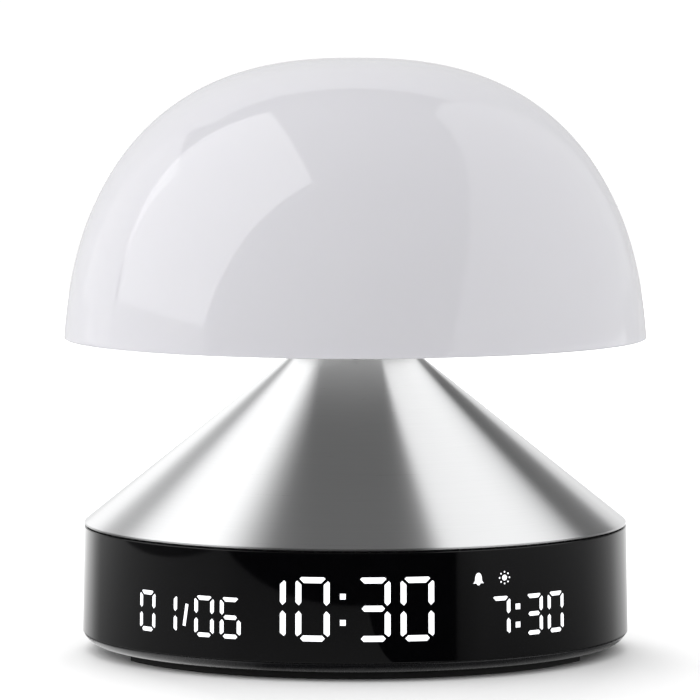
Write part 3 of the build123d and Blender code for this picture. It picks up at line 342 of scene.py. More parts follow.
# %% The table of plain finishes
for name, colour, roughness, options in [
        ("opal_plate", (0.74, 0.74, 0.77), 0.35, dict(Subsurface_Weight=0.2, Subsurface_Scale=2 * MM)),
        ("white_plastic", (0.76, 0.76, 0.75), 0.38, {}),
        ("plate_aluminium", (0.66, 0.67, 0.68), 0.35, dict(Metallic=1.0, per_mm=2.0, stretch=(8, 1, 1))),
        ("dark_case", (0.006, 0.006, 0.007), 0.26, dict(per_mm=4.0, depth_mm=0.02, shade=0.15)),
        ("black_inner", (0.02, 0.02, 0.021), 0.5, dict(per_mm=3.0, depth_mm=0.02)),
        ("grey_inner", (0.30, 0.31, 0.32), 0.45, {}),
        ("foot_rubber", (0.012, 0.012, 0.012), 0.75, dict(per_mm=3.0, depth_mm=0.03, shade=0.3)),
        ("button_plastic", (0.022, 0.022, 0.024), 0.42, dict(per_mm=5.0, depth_mm=0.01)),
        ("chip_black", (0.028, 0.028, 0.03), 0.55, dict(per_mm=6.0, depth_mm=0.01, shade=0.15)),
        ("led_body", (0.85, 0.78, 0.42), 0.25, dict(shade=0.1)),
        ("connector_white", (0.78, 0.75, 0.66), 0.4, {}),
        ("screw_steel", (0.55, 0.56, 0.58), 0.3, dict(Metallic=1.0, per_mm=6.0, shade=0.15)),
        ("spring_steel", (0.50, 0.50, 0.52), 0.28, dict(Metallic=1.0, per_mm=4.0, stretch=(1, 1, 3))),
        ("port_steel", (0.60, 0.60, 0.62), 0.28, dict(Metallic=1.0, per_mm=3.0, stretch=(1, 6, 1))),
        ("nickel_strip", (0.63, 0.61, 0.56), 0.3, dict(Metallic=1.0, per_mm=3.0, stretch=(5, 1, 1))),
        ("cell_wrap", (0.03, 0.18, 0.38), 0.22, dict(per_mm=0.4, shade=0.12, depth_mm=0.03)),
        ("foam", (0.04, 0.04, 0.042), 0.9, dict(per_mm=2.2, shade=0.4, depth_mm=0.2)),
        ("speaker_paper", (0.045, 0.043, 0.04), 0.8, dict(per_mm=2.5, shade=0.35, depth_mm=0.08)),
        ("speaker_metal", (0.035, 0.035, 0.036), 0.35, dict(per_mm=2.0)),
        ("ferrite", (0.11, 0.11, 0.12), 0.5, dict(per_mm=3.0, shade=0.2, depth_mm=0.03)),
        ("lead_jacket", (0.32, 0.02, 0.02), 0.4, dict(per_mm=2.0, depth_mm=0.02))]:
    finishes[name] = moulded(name + "_finish", colour, roughness, **options)
print(len(finishes), "finishes in all")

# %% [markdown]
# ### Dress the carried-over nodes
# Each CAD node keeps its shape and takes the finish that the record names for it. The finish goes into
# the object's material slots, so that the mesh itself stays as it is.

# %% Dress the CAD nodes
slot_of = {part["node"]: part["material_slot"] for part in frame["record"]["subparts"]}
for name, piece in frame["nodes"].items():
    if not piece.material_slots:
        piece.data.materials.append(finishes[slot_of[name]])
    for place in piece.material_slots:
        place.material = finishes[slot_of[name]]
print("dressed", len(frame["nodes"]), "nodes")

# %% [markdown]
# ## Turned pieces
# The cone and the band are turned parts: one outline swept round the axis. No real edge is quite sharp,
# and a rounded one catches a thin line of light. So an outline is given by its corners, each with its
# radius and height and with the radius of its rounding, and arcs are put in at the rounded ones.

# %% Rounded outlines
def rounded(corners):
    """Outline points from (radius, z, rounding) corners, with arcs at the rounded ones."""
    points = []
    for i, (r, z, rounding) in enumerate(corners):
        here = Vector((r, z))
        before = (Vector(corners[i - 1][:2]) - here).normalized()
        after = (Vector(corners[(i + 1) % len(corners)][:2]) - here).normalized()
        half = before.angle(after) / 2
        if not rounding:
            points.append(here)
            continue
        reach = rounding / math.tan(half)
        centre = here + (before + after).normalized() * (rounding / math.sin(half))
        start, end = here + before * reach - centre, here + after * reach - centre
        turn = start.angle_signed(end)
        points += [centre + Matrix.Rotation(-turn * k / 6, 2) @ start for k in range(7)]
    return points


print("a corner becomes", len(rounded([(1, 0, 0), (2, 0, 0.1), (2, 1, 0)])) - 2, "points of an arc")

# %% [markdown]
# Blender's Screw modifier turns an outline, but shading the result smoothly makes its long flat flanks
# look bulged near the edges. Here the mesh is built outline by outline round the axis, and each corner's
# normal is turned to its own place on the circle, so that a flank shades exactly as a cone or cylinder
# does.

# %% Turning an outline
def rework(mesh, work):
    """Lets a function work on the mesh's editable form."""
    form = bmesh.new()
    form.from_mesh(mesh)
    work(form)
    form.to_mesh(mesh)
    form.free()


def face_outwards(form):
    if form.calc_volume(signed=True) < 0:
        bmesh.ops.reverse_faces(form, faces=form.faces)


def shade_turned(mesh):
    """Gives each face that faces along the outline the exact normals of a turned surface."""
    normals = []
    for face in mesh.polygons:
        flat = face.normal
        out = Vector((face.center.x, face.center.y, 0)).normalized()
        lies_along = abs(out.cross(Vector((0, 0, 1))).dot(flat)) < 0.02
        for corner in face.loop_indices:
            co = mesh.vertices[mesh.loops[corner].vertex_index].co
            here = Vector((co.x, co.y, 0)).normalized()
            normals.append(here * out.dot(flat) + Vector((0, 0, flat.z)) if lies_along else flat)
    mesh.shade_smooth()
    mesh.normals_split_custom_set(normals)


def link(name, mesh, finish):
    """A new object with that mesh and finish."""
    piece = bpy.data.objects.new(name, mesh)
    bpy.context.scene.collection.objects.link(piece)
    mesh.materials.clear()
    mesh.materials.append(finish)
    return piece


def turned(name, corners, slot, steps=360):
    """A ring-shaped piece: a closed outline, in mm, turned about Z."""
    points = rounded(corners)
    count = len(points)
    turns = [(math.cos(a), math.sin(a)) for a in (2 * math.pi * i / steps for i in range(steps))]
    vertices = [(p.x * c * MM, p.x * s * MM, p.y * MM) for c, s in turns for p in points]
    faces = [(i * count + k, (i + 1) % steps * count + k, (i + 1) % steps * count + (k + 1) % count,
              i * count + (k + 1) % count) for i in range(steps) for k in range(count)]
    mesh = bpy.data.meshes.new(name)
    mesh.from_pydata(vertices, [], faces)
    rework(mesh, face_outwards)
    shade_turned(mesh)
    return link(name, mesh, finishes[slot])


print("outlines can be turned")

# %% [markdown]
# Each finished piece is settled in the same way. It rides on the body that it moves with, and it may
# stand for a CAD node, which is then hidden.

# %% Settling a piece
def settle(piece, body, slot, *nodes):
    """Rides the piece on its body if it has one and lets it stand for CAD nodes; the slot is not used."""
    if body:
        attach(piece, body)
    if nodes:
        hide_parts(*nodes)
    piece.data.calc_loop_triangles()
    print(piece.name, len(piece.data.loop_triangles), "triangles on", body or "two bodies")
    return piece


print("pieces can be settled")

# %% [markdown]
# ### The cone
# A disc of aluminium is pressed over a former while it spins. Its lip is rolled down for a fraction of
# a millimetre, which catches a thin bright line, and its wall is 1.2 mm everywhere. The outline follows
# the wall on both sides.

# %% The cone
lip_radius, lip_bottom_z, lip_z = 61.6, 28.7, 29.15
collar_radius, collar_z, mouth_radius, cone_wall = 13.8, 67.5, 10.2, 1.2
slope = (lip_radius - collar_radius) / (collar_z - lip_z)
side_wall = cone_wall * math.hypot(1, slope)
inner_at = lambda z: collar_radius + slope * (collar_z - z) - side_wall
cone = turned("spun_cone", [
    (lip_radius, lip_bottom_z, 0.06), (lip_radius, lip_z, 0.2), (collar_radius, collar_z, 0.25),
    (mouth_radius, collar_z, 0.1), (mouth_radius, collar_z - cone_wall, 0.1),
    (inner_at(collar_z - cone_wall), collar_z - cone_wall, 0), (inner_at(lip_bottom_z), lip_bottom_z, 0)],
    "spun_aluminium", steps=480)
settle(cone, "base", "spun_aluminium", "cone_shell")

# %% [markdown]
# ## Pieces that follow a rule
# Some shapes follow a rule rather than an outline: a dome bent by a formula, bars wrapped round a band,
# contacts at an even pitch. Geometry Nodes make those from named inputs. The helpers here begin a tree,
# end it, run it on a new object and keep the result as a plain mesh.

# %% Helpers for geometry trees
def new_tree(name, sizes):
    """A geometry tree with a named input for each size and for the finish; returns tree and inputs."""
    tree = bpy.data.node_groups.new(name, "GeometryNodeTree")
    tree.interface.new_socket("Geometry", in_out="OUTPUT", socket_type="NodeSocketGeometry")
    tree.interface.new_socket("Geometry", in_out="INPUT", socket_type="NodeSocketGeometry")
    for label, value in sizes.items():
        kind = "NodeSocketInt" if isinstance(value, int) else "NodeSocketFloat"
        tree.interface.new_socket(label, in_out="INPUT", socket_type=kind)
    tree.interface.new_socket("Finish", in_out="INPUT", socket_type="NodeSocketMaterial")
    source = tree.nodes.new("NodeGroupInput")
    return tree, {output.name: Flow(tree, output) for output in source.outputs if output.name}


def end_tree(tree, geometry, inputs):
    """Ends the tree in plain mesh with the finish on it."""
    real = node(tree, "GeometryNodeRealizeInstances", Geometry=geometry)
    painted = node(tree, "GeometryNodeSetMaterial", Geometry=real.outputs[0], Material=inputs["Finish"])
    tree.links.new(painted.outputs[0], tree.nodes.new("NodeGroupOutput").inputs[0])


def keep_result(piece, modifier):
    """Makes the modifier's result the piece's own plain mesh and removes the modifier."""
    mesh = bpy.data.meshes.new_from_object(piece.evaluated_get(bpy.context.evaluated_depsgraph_get()))
    piece.modifiers.remove(modifier)
    piece.data, mesh.name = mesh, piece.name


def run_tree(name, tree, sizes, slot, start=None):
    """Runs the tree on a new object and keeps the result as a plain mesh."""
    piece = bpy.data.objects.new(name, start or bpy.data.meshes.new(name + "_start"))
    bpy.context.scene.collection.objects.link(piece)
    modifier = piece.modifiers.new("Build", "NODES")
    modifier.node_group = tree
    values = {**sizes, "Finish": finishes[slot]}
    for item in tree.interface.items_tree:
        if item.item_type == "SOCKET" and item.in_out == "INPUT" and item.name in values:
            modifier[item.identifier] = values[item.name]
    keep_result(piece, modifier)
    return piece


print("tree helpers are ready")

# %% [markdown]
# ### The dome
# The dome's outline is a superellipse, the curve between an ellipse and a rounded box, cut flat at the
# rim. A flat grid is bent into place by its formula, once for the outer skin and once for the inner, and
# a third grid closes the rim between them. The named inputs are the sizes that a designer would want to
# change.

# %% Sizes and a bent grid
dome_sizes = {
    "Rim Radius": 66.19 * MM, "Rim Height": 70.8 * MM, "Height": 63.49 * MM, "Below Rim": 13.0 * MM,
    "Squareness": 2.46, "Wall": 2.4 * MM, "Rim Round": 0.5 * MM, "Steps Around": 256, "Steps Up": 84}
tree, size = new_tree("Superellipse Dome", dome_sizes)
full_height = size["Height"] + size["Below Rim"]
share = 1.0 - (size["Below Rim"] / full_height) ** size["Squareness"]
half_width = size["Rim Radius"] / share ** (1.0 / size["Squareness"])
equator = size["Rim Height"] - size["Below Rim"]


def bent_grid(rows, place):
    """A grid whose columns go round the axis; place gives radius and height from 0 to 1 up a column."""
    flat = node(tree, "GeometryNodeMeshGrid", Size_X=1.0, Size_Y=1.0, Vertices_X=size["Steps Around"],
                Vertices_Y=rows)
    across, up, _ = split(tree, node(tree, "GeometryNodeInputPosition").outputs[0])
    turn = (across + 0.5) * (2 * math.pi)
    r, z = place(up + 0.5)
    point = joined(tree, r * turn.cos(), r * turn.sin(), z)
    return node(tree, "GeometryNodeSetPosition", Geometry=flat.outputs["Mesh"], Position=point).outputs[0]


print("the dome has", len(dome_sizes), "sizes")

# %% [markdown]
# A skin is drawn by an angle that runs from the rim to the crown, and powers of its sine and cosine give
# the height and the radius. Even steps of that angle put the most rows where the outline bends most. The
# rim is flat with rounded edges, as a moulded rim is.

# %% Skins and rim
def skin(inset, lift):
    """The superellipse, moved into the wall by inset, from a lifted rim to the crown."""
    wide, tall = half_width - inset, full_height - inset

    def place(up):
        sine = ((size["Below Rim"] + lift) / tall) ** (size["Squareness"] / 2.0)
        start = sine.math("ARCSINE", sine)
        turn = start + (math.pi / 2 - start) * up
        power = 2.0 / size["Squareness"]
        return wide * turn.cos().at_least(0.0) ** power, equator + tall * turn.sin() ** power

    return place


def rim_radius(inset, lift):
    """The skin's radius at its lifted rim."""
    wide, tall = half_width - inset, full_height - inset
    low = (size["Below Rim"] + lift) / tall
    return wide * (1.0 - low ** size["Squareness"]) ** (1.0 / size["Squareness"])


def rim(up):
    """A flat rim with a rounded edge on either side, from the inner skin to the outer."""
    r_out, r_in = rim_radius(0.0, size["Rim Round"]), rim_radius(size["Wall"], size["Rim Round"])
    swing = -(up * math.pi).cos()
    middle = (r_out + r_in) * 0.5
    stretch = (r_out - r_in) * 0.5
    flatness = 6.0
    bulge = (1.0 - swing.math("ABSOLUTE", swing) ** flatness) ** (1 / flatness)
    return middle + stretch * swing, size["Rim Height"] + size["Rim Round"] * (1.0 - bulge)


print("the formulas have", len(tree.nodes), "nodes so far")

# %% [markdown]
# The inner skin is turned over, so that it faces the inside of the lamp. Then the three grids are joined,
# and points that lie on each other are merged, which closes the seam, the crown and the rim.

# %% The closed dome
outer = bent_grid(size["Steps Up"], skin(0.0, size["Rim Round"]))
inner = bent_grid(size["Steps Up"], skin(size["Wall"], size["Rim Round"]))
inner = node(tree, "GeometryNodeFlipFaces", Mesh=inner).outputs[0]
rim_rows = 33
edge = bent_grid(rim_rows, rim)
together = tree.nodes.new("GeometryNodeJoinGeometry")
for part in (outer, inner, edge):
    tree.links.new(part, together.inputs[0])
closed = node(tree, "GeometryNodeMergeByDistance", Geometry=together.outputs[0], Distance=0.004 * MM)
smooth = node(tree, "GeometryNodeSetShadeSmooth", Geometry=closed.outputs[0])
end_tree(tree, smooth.outputs[0], size)
dome = run_tree("opal_dome", tree, dome_sizes, "opal_plastic")
settle(dome, "head", "opal_plastic", "dome_diffuser")

# %% [markdown]
# ### The band
# The band is a tube of smoked plastic that narrows by a few tenths towards the top, because it has to
# leave its mould. The display lies behind it, so its outside has no windows. At the back it is drilled
# for the five buttons and cut for the charging socket. Each cut is a prism, which is a flat outline drawn
# out into a bar, laid through the wall at its own angle.

# %% Sizes of the band, and prisms
band_bottom_z, band_top_z = 4.2, 28.3
band_low_radius, band_high_radius, band_bore = 62.05, 61.65, 59.4
button_angles, button_z, button_hole_radius = (158, 169, 180, 191, 202), 19.5, 3.15
socket_z, socket_width, socket_height = 9.23, 9.28, 3.6


def at_angle(angle, z=0.0):
    """The frame of a spot on the band: x to its right, y up and z outwards, at an angle from the front."""
    a = math.radians(angle)
    right, out = Vector((math.cos(a), math.sin(a), 0)), Vector((math.sin(a), -math.cos(a), 0))
    turn = Matrix((right, Vector((0, 0, 1)), out)).transposed().to_4x4()
    return Matrix.Translation((0, 0, z * MM)) @ turn


def prism(outline, low, high, place):
    """A bar with that outline in mm, from low to high along the place's z axis."""
    form = bmesh.new()
    bottom = [form.verts.new((x * MM, y * MM, low * MM)) for x, y in outline]
    top = [form.verts.new((x * MM, y * MM, high * MM)) for x, y in outline]
    form.faces.new(bottom[::-1])
    form.faces.new(top)
    for k in range(len(outline)):
        n = (k + 1) % len(outline)
        form.faces.new((bottom[k], bottom[n], top[n], top[k]))
    form.transform(place)
    return form


def mesh_of(form, name):
    """A mesh from an editable form, which is freed."""
    mesh = bpy.data.meshes.new(name)
    form.to_mesh(mesh)
    form.free()
    return mesh


def circle(radius, x=0.0, y=0.0, steps=48):
    """A round outline, as a list of (x, y)."""
    return [(x + radius * math.cos(2 * math.pi * i / steps), y + radius * math.sin(2 * math.pi * i / steps))
            for i in range(steps)]


def stadium(width, height):
    """A slot with half-round ends."""
    reach, radius = (width - height) / 2, height / 2
    turns = [math.radians(-90 + 180 * i / 16) for i in range(17)]
    right = [(reach + radius * math.cos(a), radius * math.sin(a)) for a in turns]
    return right + [(-x, -y) for x, y in right]


print("the holes are at", button_angles, "degrees from the front")

# %% [markdown]
# A Boolean modifier takes the prisms out of the tube. Its exact solver copes with the tube's many narrow
# faces. The normals are set again afterwards, because the cuts would otherwise dent the reflections
# around them.

# %% The band with its cuts
def cut(piece, forms):
    """Cuts the forms out of the piece for good, without leaving faces of no area."""
    for form in forms:
        cutter = bpy.data.objects.new("cutter", mesh_of(form, "cutter"))
        bpy.context.scene.collection.objects.link(cutter)
        modifier = piece.modifiers.new("Cut", "BOOLEAN")
        modifier.object, modifier.solver = cutter, "EXACT"
        keep_result(piece, modifier)
        bpy.data.objects.remove(cutter)
    rework(piece.data, lambda form: bmesh.ops.dissolve_degenerate(form, dist=0.0005 * MM, edges=form.edges))


band = turned("black_band", [
    (band_bore, band_bottom_z, 0), (band_low_radius, band_bottom_z, 0.2),
    (band_high_radius, band_top_z, 0.2), (band_bore, band_top_z, 0)], "black_gloss", steps=480)
through = (50, 70)
holes = [prism(circle(button_hole_radius), *through, at_angle(angle, button_z)) for angle in button_angles]
slot = prism(stadium(socket_width, socket_height), *through, at_angle(180, socket_z))
cut(band, holes + [slot])
shade_turned(band.data)
settle(band, "base", "black_gloss", "display_band")

# %% [markdown]
# ### The display
# Each lit bar is a clear guide that ends just under the band's face. Drawn flat, a bar is a six-sided
# outline. A Geometry Nodes tree gives the flat drawing its thickness and then bends it round the
# tapered band: the distance along the drawing becomes an angle, and the height stays. The drawing is
# first sliced into narrow columns, so that it can bend.

# %% The wrapping tree
middle_radius = (band_low_radius + band_high_radius) / 2
wrap_sizes = {"Low Radius": band_low_radius * MM, "Low Height": band_bottom_z * MM,
              "Taper": (band_high_radius - band_low_radius) / (band_top_z - band_bottom_z),
              "Middle Radius": middle_radius * MM,
              "Thickness": 1.2 * MM, "Proud": 0.02 * MM}
wrap_tree, size = new_tree("Wrap Round Band", wrap_sizes)
tree = wrap_tree
raised = node(tree, "GeometryNodeExtrudeMesh", Mesh=size["Geometry"], Offset=joined(tree, 0.0, 0.0, 1.0),
              Offset_Scale=size["Thickness"], Individual=False)
back = node(tree, "GeometryNodeFlipFaces", Mesh=size["Geometry"])
whole = tree.nodes.new("GeometryNodeJoinGeometry")
tree.links.new(raised.outputs["Mesh"], whole.inputs[0])
tree.links.new(back.outputs[0], whole.inputs[0])
closed = node(tree, "GeometryNodeMergeByDistance", Geometry=whole.outputs[0], Distance=0.001 * MM)
along, height, depth = split(tree, node(tree, "GeometryNodeInputPosition").outputs[0])
turn = along / size["Middle Radius"]
reach = (size["Low Radius"] + (height - size["Low Height"]) * size["Taper"] + size["Proud"]
         - size["Thickness"] + depth)
spot = joined(tree, reach * turn.sin(), -(reach * turn.cos()), height)
bent = node(tree, "GeometryNodeSetPosition", Geometry=closed.outputs[0], Position=spot)
end_tree(tree, bent.outputs[0], size)
print("the wrapping tree has", len(tree.nodes), "nodes")

# %% [markdown]
# The figures are the usual seven bars, with mitred ends that leave thin dark gaps. The same outlines
# serve both sizes of figure, because every corner is given in widths of a bar.

# %% Outlines of the figures
SEGMENTS = {"0": "abcdef", "1": "bc", "3": "abcdg", "6": "acdefg", "7": "abc"}


def bar(name, width, height, t):
    """One bar of a seven-bar figure in a box from (0, 0) to (width, height)."""
    middle = 0.515 * height
    if name in "bc":
        return [(width - x, y) for x, y in bar({"b": "f", "c": "e"}[name], width, height, t)][::-1]
    return {
        "a": [(0.58 * t, height - 0.31 * t), (1.27 * t, height - t), (width - 1.27 * t, height - t),
              (width - 0.58 * t, height - 0.31 * t), (width - 0.89 * t, height), (0.89 * t, height)],
        "d": [(0.68 * t, 0.5 * t), (1.15 * t, 0), (width - 1.15 * t, 0), (width - 0.68 * t, 0.5 * t),
              (width - 1.15 * t, t), (1.15 * t, t)],
        "g": [(0.8 * t, middle), (1.25 * t, middle - t / 2), (width - 1.25 * t, middle - t / 2),
              (width - 0.8 * t, middle), (width - 1.25 * t, middle + t / 2), (1.25 * t, middle + t / 2)],
        "f": [(0, height - 0.82 * t), (0, middle + 0.85 * t), (0.56 * t, middle + 0.32 * t),
              (t, middle + 0.85 * t), (t, height - 1.17 * t), (0.32 * t, height - 0.53 * t)],
        "e": [(0, 1.05 * t), (0.33 * t, 0.7 * t), (t, 1.23 * t), (t, middle - 0.85 * t),
              (0.56 * t, middle - 0.32 * t), (0, middle - 0.85 * t)]}[name]


def drawn_in(outline, by=0.09):
    """A convex outline with each side moved inwards, as a mask's edge covers the border of a bar."""
    corners = [Vector(corner) for corner in outline]
    lines = []
    for here, after in zip(corners, corners[1:] + corners[:1]):
        side = (after - here).normalized()
        lines.append((here + Vector((-side.y, side.x)) * by, side))
    if sum(a.cross(b) for a, b in zip(corners, corners[1:] + corners[:1])) < 0:
        return drawn_in(outline[::-1], by)
    drawn = []
    for (p, u), (q, v) in zip(lines[-1:] + lines[:-1], lines):
        drawn.append(tuple(p + u * ((q - p).cross(v) / u.cross(v))))
    return drawn


def figures(text, arc, z, digit, pitch, pair_gap):
    """The outlines of four figures in two pairs; a space is a dark figure."""
    width, height, _ = digit
    near = (pair_gap + width) / 2
    outlines = []
    for character, offset in zip(text, (-near - pitch, -near, near, near + pitch)):
        for name in SEGMENTS.get(character, ""):
            outlines.append([(x + arc + offset - width / 2, y + z - height / 2)
                             for x, y in drawn_in(bar(name, *digit))])
    return outlines


print("a figure 3 has", len(SEGMENTS["3"]), "bars")

# %% [markdown]
# Between and over the figures stand a slash, two colons, a bell and a sun. The bell's outline is drawn
# point by point on its right side and mirrored.

# %% Outlines of the marks
def box_outline(x, y, width, height, lean=0.0):
    """A small bar that leans to the right by an angle."""
    c, s = math.cos(math.radians(lean)), math.sin(math.radians(lean))
    corners = [(side * width / 2, end * height / 2) for side, end in ((-1, -1), (1, -1), (1, 1), (-1, 1))]
    return [(x + u * c + v * s, y - u * s + v * c) for u, v in corners]


def colon(arc, z, dot, half_spread):
    """Two square dots, one above the other."""
    return [box_outline(arc, z + side * half_spread, dot, dot) for side in (-1, 1)]


def bell(x, y, half=1.3, tall=2.8):
    """A bell: round shoulders, flared mouth and a clapper below."""
    mouth_z, clapper_reach, clapper_drop = -0.32, 0.34, 0.16
    right = [(clapper_reach, mouth_z), (1.0, mouth_z), (0.80, -0.22), (0.68, -0.13), (0.64, 0.0),
             (0.60, 0.16), (0.52, 0.30), (0.38, 0.41), (0.20, 0.48)]
    left = [(-u, v) for u, v in right[::-1]]
    turns = [math.pi * k / 6 for k in range(1, 6)]
    clapper = [(-clapper_reach * math.cos(a), mouth_z - clapper_drop * math.sin(a)) for a in turns]
    return [(x + u * half, y + v * tall) for u, v in right + [(0.0, 0.5)] + left + clapper]


def sun(x, y, disc=0.63, dot=0.19, orbit=1.28):
    """A round disc with eight dots for its rays."""
    turns = [math.pi * k / 4 for k in range(8)]
    return [circle(disc, x, y, 24)] + [
        circle(dot, x + orbit * math.cos(a), y + orbit * math.sin(a), 12) for a in turns]


print("the bell has", len(bell(0, 0)), "corners, and the sun has", len(sun(0, 0)), "outlines")

# %% [markdown]
# A flat outline bends only where it has points. So each drawing is sliced into columns of less than a
# millimetre before the tree wraps it. The time stands in the middle with large figures, and the date and
# the alarm on either side with small ones, each placed by its distance along the band.

# %% Light up the display
def drawing(name, outlines, column=0.8):
    """A flat mesh of the outlines, sliced into columns so that it can bend."""
    form = bmesh.new()
    for outline in outlines:
        form.faces.new([form.verts.new((x * MM, y * MM, 0)) for x, y in outline])
    form.normal_update()
    for face in [f for f in form.faces if f.normal.z < 0]:
        face.normal_flip()
    low, high = min(v.co.x for v in form.verts), max(v.co.x for v in form.verts)
    aside = 1e-7          # keeps the cuts off corners that lie exactly on a column's border
    for k in range(1, int((high - low) / (column * MM))):
        bmesh.ops.bisect_plane(form, geom=form.verts[:] + form.edges[:] + form.faces[:], dist=1e-9,
                               plane_co=(low + k * column * MM + aside, 0, 0), plane_no=(1, 0, 0))
    return mesh_of(form, name + "_drawing")


def arc_at(angle):
    """The distance along the band of a spot at an angle from the front."""
    return math.radians(angle) * middle_radius


large, small = (7.7, 14.2, 1.48), (5.3, 9.2, 1.12)      # width, height and bar width of a figure
large_pitch, small_pitch, dot = 9.72, 6.65, 1.25
time_arc, date_arc, alarm_arc = -2.7, -39.9, 37.95
time_z, small_z, icon_z = 15.95, 13.35, 21.9
slash = drawn_in(box_outline(date_arc, small_z, 0.95, 5.1, lean=9.0))
for name, replaced, outlines in [
        ("time_bars", "time_digits", figures("1030", time_arc, time_z, large, large_pitch, 5.55)
         + colon(time_arc, time_z, dot, 2.85)),
        ("date_bars", "date_digits", figures("0106", date_arc, small_z, small, small_pitch, 4.7) + [slash]),
        ("alarm_bars", "alarm_digits", figures(" 730", alarm_arc, small_z, small, small_pitch, 3.85)
         + colon(alarm_arc, small_z, dot, 2.0)),
        ("bell_mark", "bell_icon", [bell(arc_at(25.8), icon_z)]),
        ("sun_mark", "sun_icon", sun(arc_at(31.9), icon_z))]:
    piece = run_tree(name, wrap_tree, wrap_sizes, "lit_guide", drawing(name, outlines))
    settle(piece, "base", "lit_guide", replaced)

# %% [markdown]
# ## Smooth copies of milled pieces
# The CAD meshes are loose triangles with flat faces, which shows on rounded edges. Their objects stay
# untouched: a copy of each mesh is merged into one skin and shaded smoothly up to an angle of 30
# degrees, with the large faces setting the normals, and that copy stands for the node.

# %% Smooth copies
def smooth_copy(name, original, body):
    """A merged and smoothly shaded copy of a CAD node that stands for it."""
    mesh = frame["nodes"][original].data.copy()
    rework(mesh, lambda form: bmesh.ops.remove_doubles(form, verts=form.verts, dist=0.001 * MM))
    mesh.shade_smooth()
    mesh.set_sharp_from_angle(angle=math.radians(30))
    piece = link(name, mesh, finishes[slot_of[original]])
    weighting = piece.modifiers.new("weighting", "WEIGHTED_NORMAL")
    weighting.keep_sharp = True
    keep_result(piece, weighting)
    return settle(piece, body, slot_of[original], original)


for name, original, body in [
        ("lower_case", "base_tray", "base"), ("front_rubber_foot", "front_foot", "base"),
        ("rear_rubber_foot", "rear_foot", "base"), ("socket_shell", "usb_port", "base"),
        ("neck_collar", "neck_bushing", "base"), ("lamp_underside", "underside_diffuser", "head"),
        ("stem_and_platform", "head_stem", "head"), ("inner_frame", "chassis", "base")]:
    smooth_copy(name, original, body)

# %% [markdown]
# ### The spring and the lamp's lead
# Two pieces give way when the head is pressed. The spring is squeezed between the cone's collar and the
# stem's platform. The lead leaves the stem through a slot, so all of it above the slot moves with the
# head, and its straight run down the column takes up the travel. Here both are smooth copies of their
# nodes; the spring rides on the base, and the lead rides on no body.

# %% The spring and the lamp's lead
spring = smooth_copy("coil_spring", "return_spring", "base")
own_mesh(spring)
cable = smooth_copy("lamp_cable", "lamp_lead", None)
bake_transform(cable)

# %% [markdown]
# ## The rear buttons
# Each button is a moulded cap with a shallow dish for a fingertip. The cap is built ring by ring about
# its own axis and then laid on its place on the band. It is shaded smoothly only up to an angle, which
# keeps its back edge sharp.

# %% Caps
button_radius, button_face, button_back = 3.0, 62.45, 58.5
cap_rounding, dish_radius, dish_depth = 0.3, 2.45, 0.14


def cap_mesh(place, steps=64):
    """A dished cap, closed at its two poles."""
    rim = [(button_radius, button_back), (button_radius, button_face - cap_rounding)]
    rim += [(button_radius - cap_rounding * (1 - math.cos(a)), button_face - cap_rounding * (1 - math.sin(a)))
            for a in (math.pi / 2 * k / 6 for k in range(1, 7))]
    rim += [(dish_radius * share, button_face - dish_depth * (1 - share ** 2))
            for share in (1 - k / 8 for k in range(8))]
    form = bmesh.new()
    rings = [[form.verts.new((x * MM, y * MM, depth * MM)) for x, y in circle(radius, steps=steps)]
             for radius, depth in rim]
    for low, high in zip(rings, rings[1:]):
        for i in range(steps):
            form.faces.new((low[i], low[(i + 1) % steps], high[(i + 1) % steps], high[i]))
    top = form.verts.new((0, 0, (button_face - dish_depth) * MM))
    for i in range(steps):
        form.faces.new((rings[-1][i], rings[-1][(i + 1) % steps], top))
    form.faces.new(rings[0][::-1])
    form.transform(place)
    mesh = mesh_of(form, "cap")
    mesh.shade_smooth()
    mesh.set_sharp_from_angle(angle=math.radians(35))
    return mesh


print("a cap is", 2 * button_radius, "mm across, with a dish", dish_depth, "mm deep")

# %% [markdown]
# The signs are inlays of white plastic that end just above the dish: a lamp, a bell, a clock face, a minus
# and a plus. They are prisms, as the band's cuts are. A prism takes one closed outline, so a ring is drawn
# as one line with a slit too thin to see.

# %% Signs, and the five buttons
def ring_outline(radius, width, steps=48):
    """A ring with a hair-thin slit at its top, so that it is one outline."""
    half_slit = 0.3
    turns = [math.radians(90 + half_slit + (360 - 2 * half_slit) * i / steps) for i in range(steps + 1)]
    outside = [(radius * math.cos(a), radius * math.sin(a)) for a in turns]
    inner = radius - width
    return outside + [(inner * math.cos(a), inner * math.sin(a)) for a in turns[::-1]]


signs = {
    "light": [ring_outline(0.95, 0.22), box_outline(0, -1.2, 0.8, 0.2), box_outline(0, -1.5, 0.5, 0.18)],
    "alarm": [bell(0, 0, half=1.1, tall=2.4)],
    "clock": [ring_outline(1.35, 0.22), box_outline(0.0, 0.4, 0.2, 0.8), box_outline(0.35, 0.05, 0.7, 0.2)],
    "minus": [box_outline(0, 0, 2.0, 0.3)],
    "plus": [box_outline(0, 0, 2.0, 0.3), box_outline(0, 0.6, 0.3, 0.82), box_outline(0, -0.6, 0.3, 0.82)]}
sign_bottom, sign_top = button_face - 0.5, button_face - dish_depth + 0.07
for (kind, outlines), angle in zip(signs.items(), button_angles):
    place, body = at_angle(angle, button_z), kind + "_button"
    cap = link(kind + "_cap", cap_mesh(place), finishes["button_plastic"])
    settle(cap, body, "button_plastic", body)
    sign_form = bmesh.new()
    for outline in outlines:
        sign_form.from_mesh(mesh_of(prism(outline, sign_bottom, sign_top, place), "stroke"))
    sign = link(kind + "_sign", mesh_of(sign_form, kind + "_sign"), finishes["white_plastic"])
    settle(sign, body, "white_plastic")

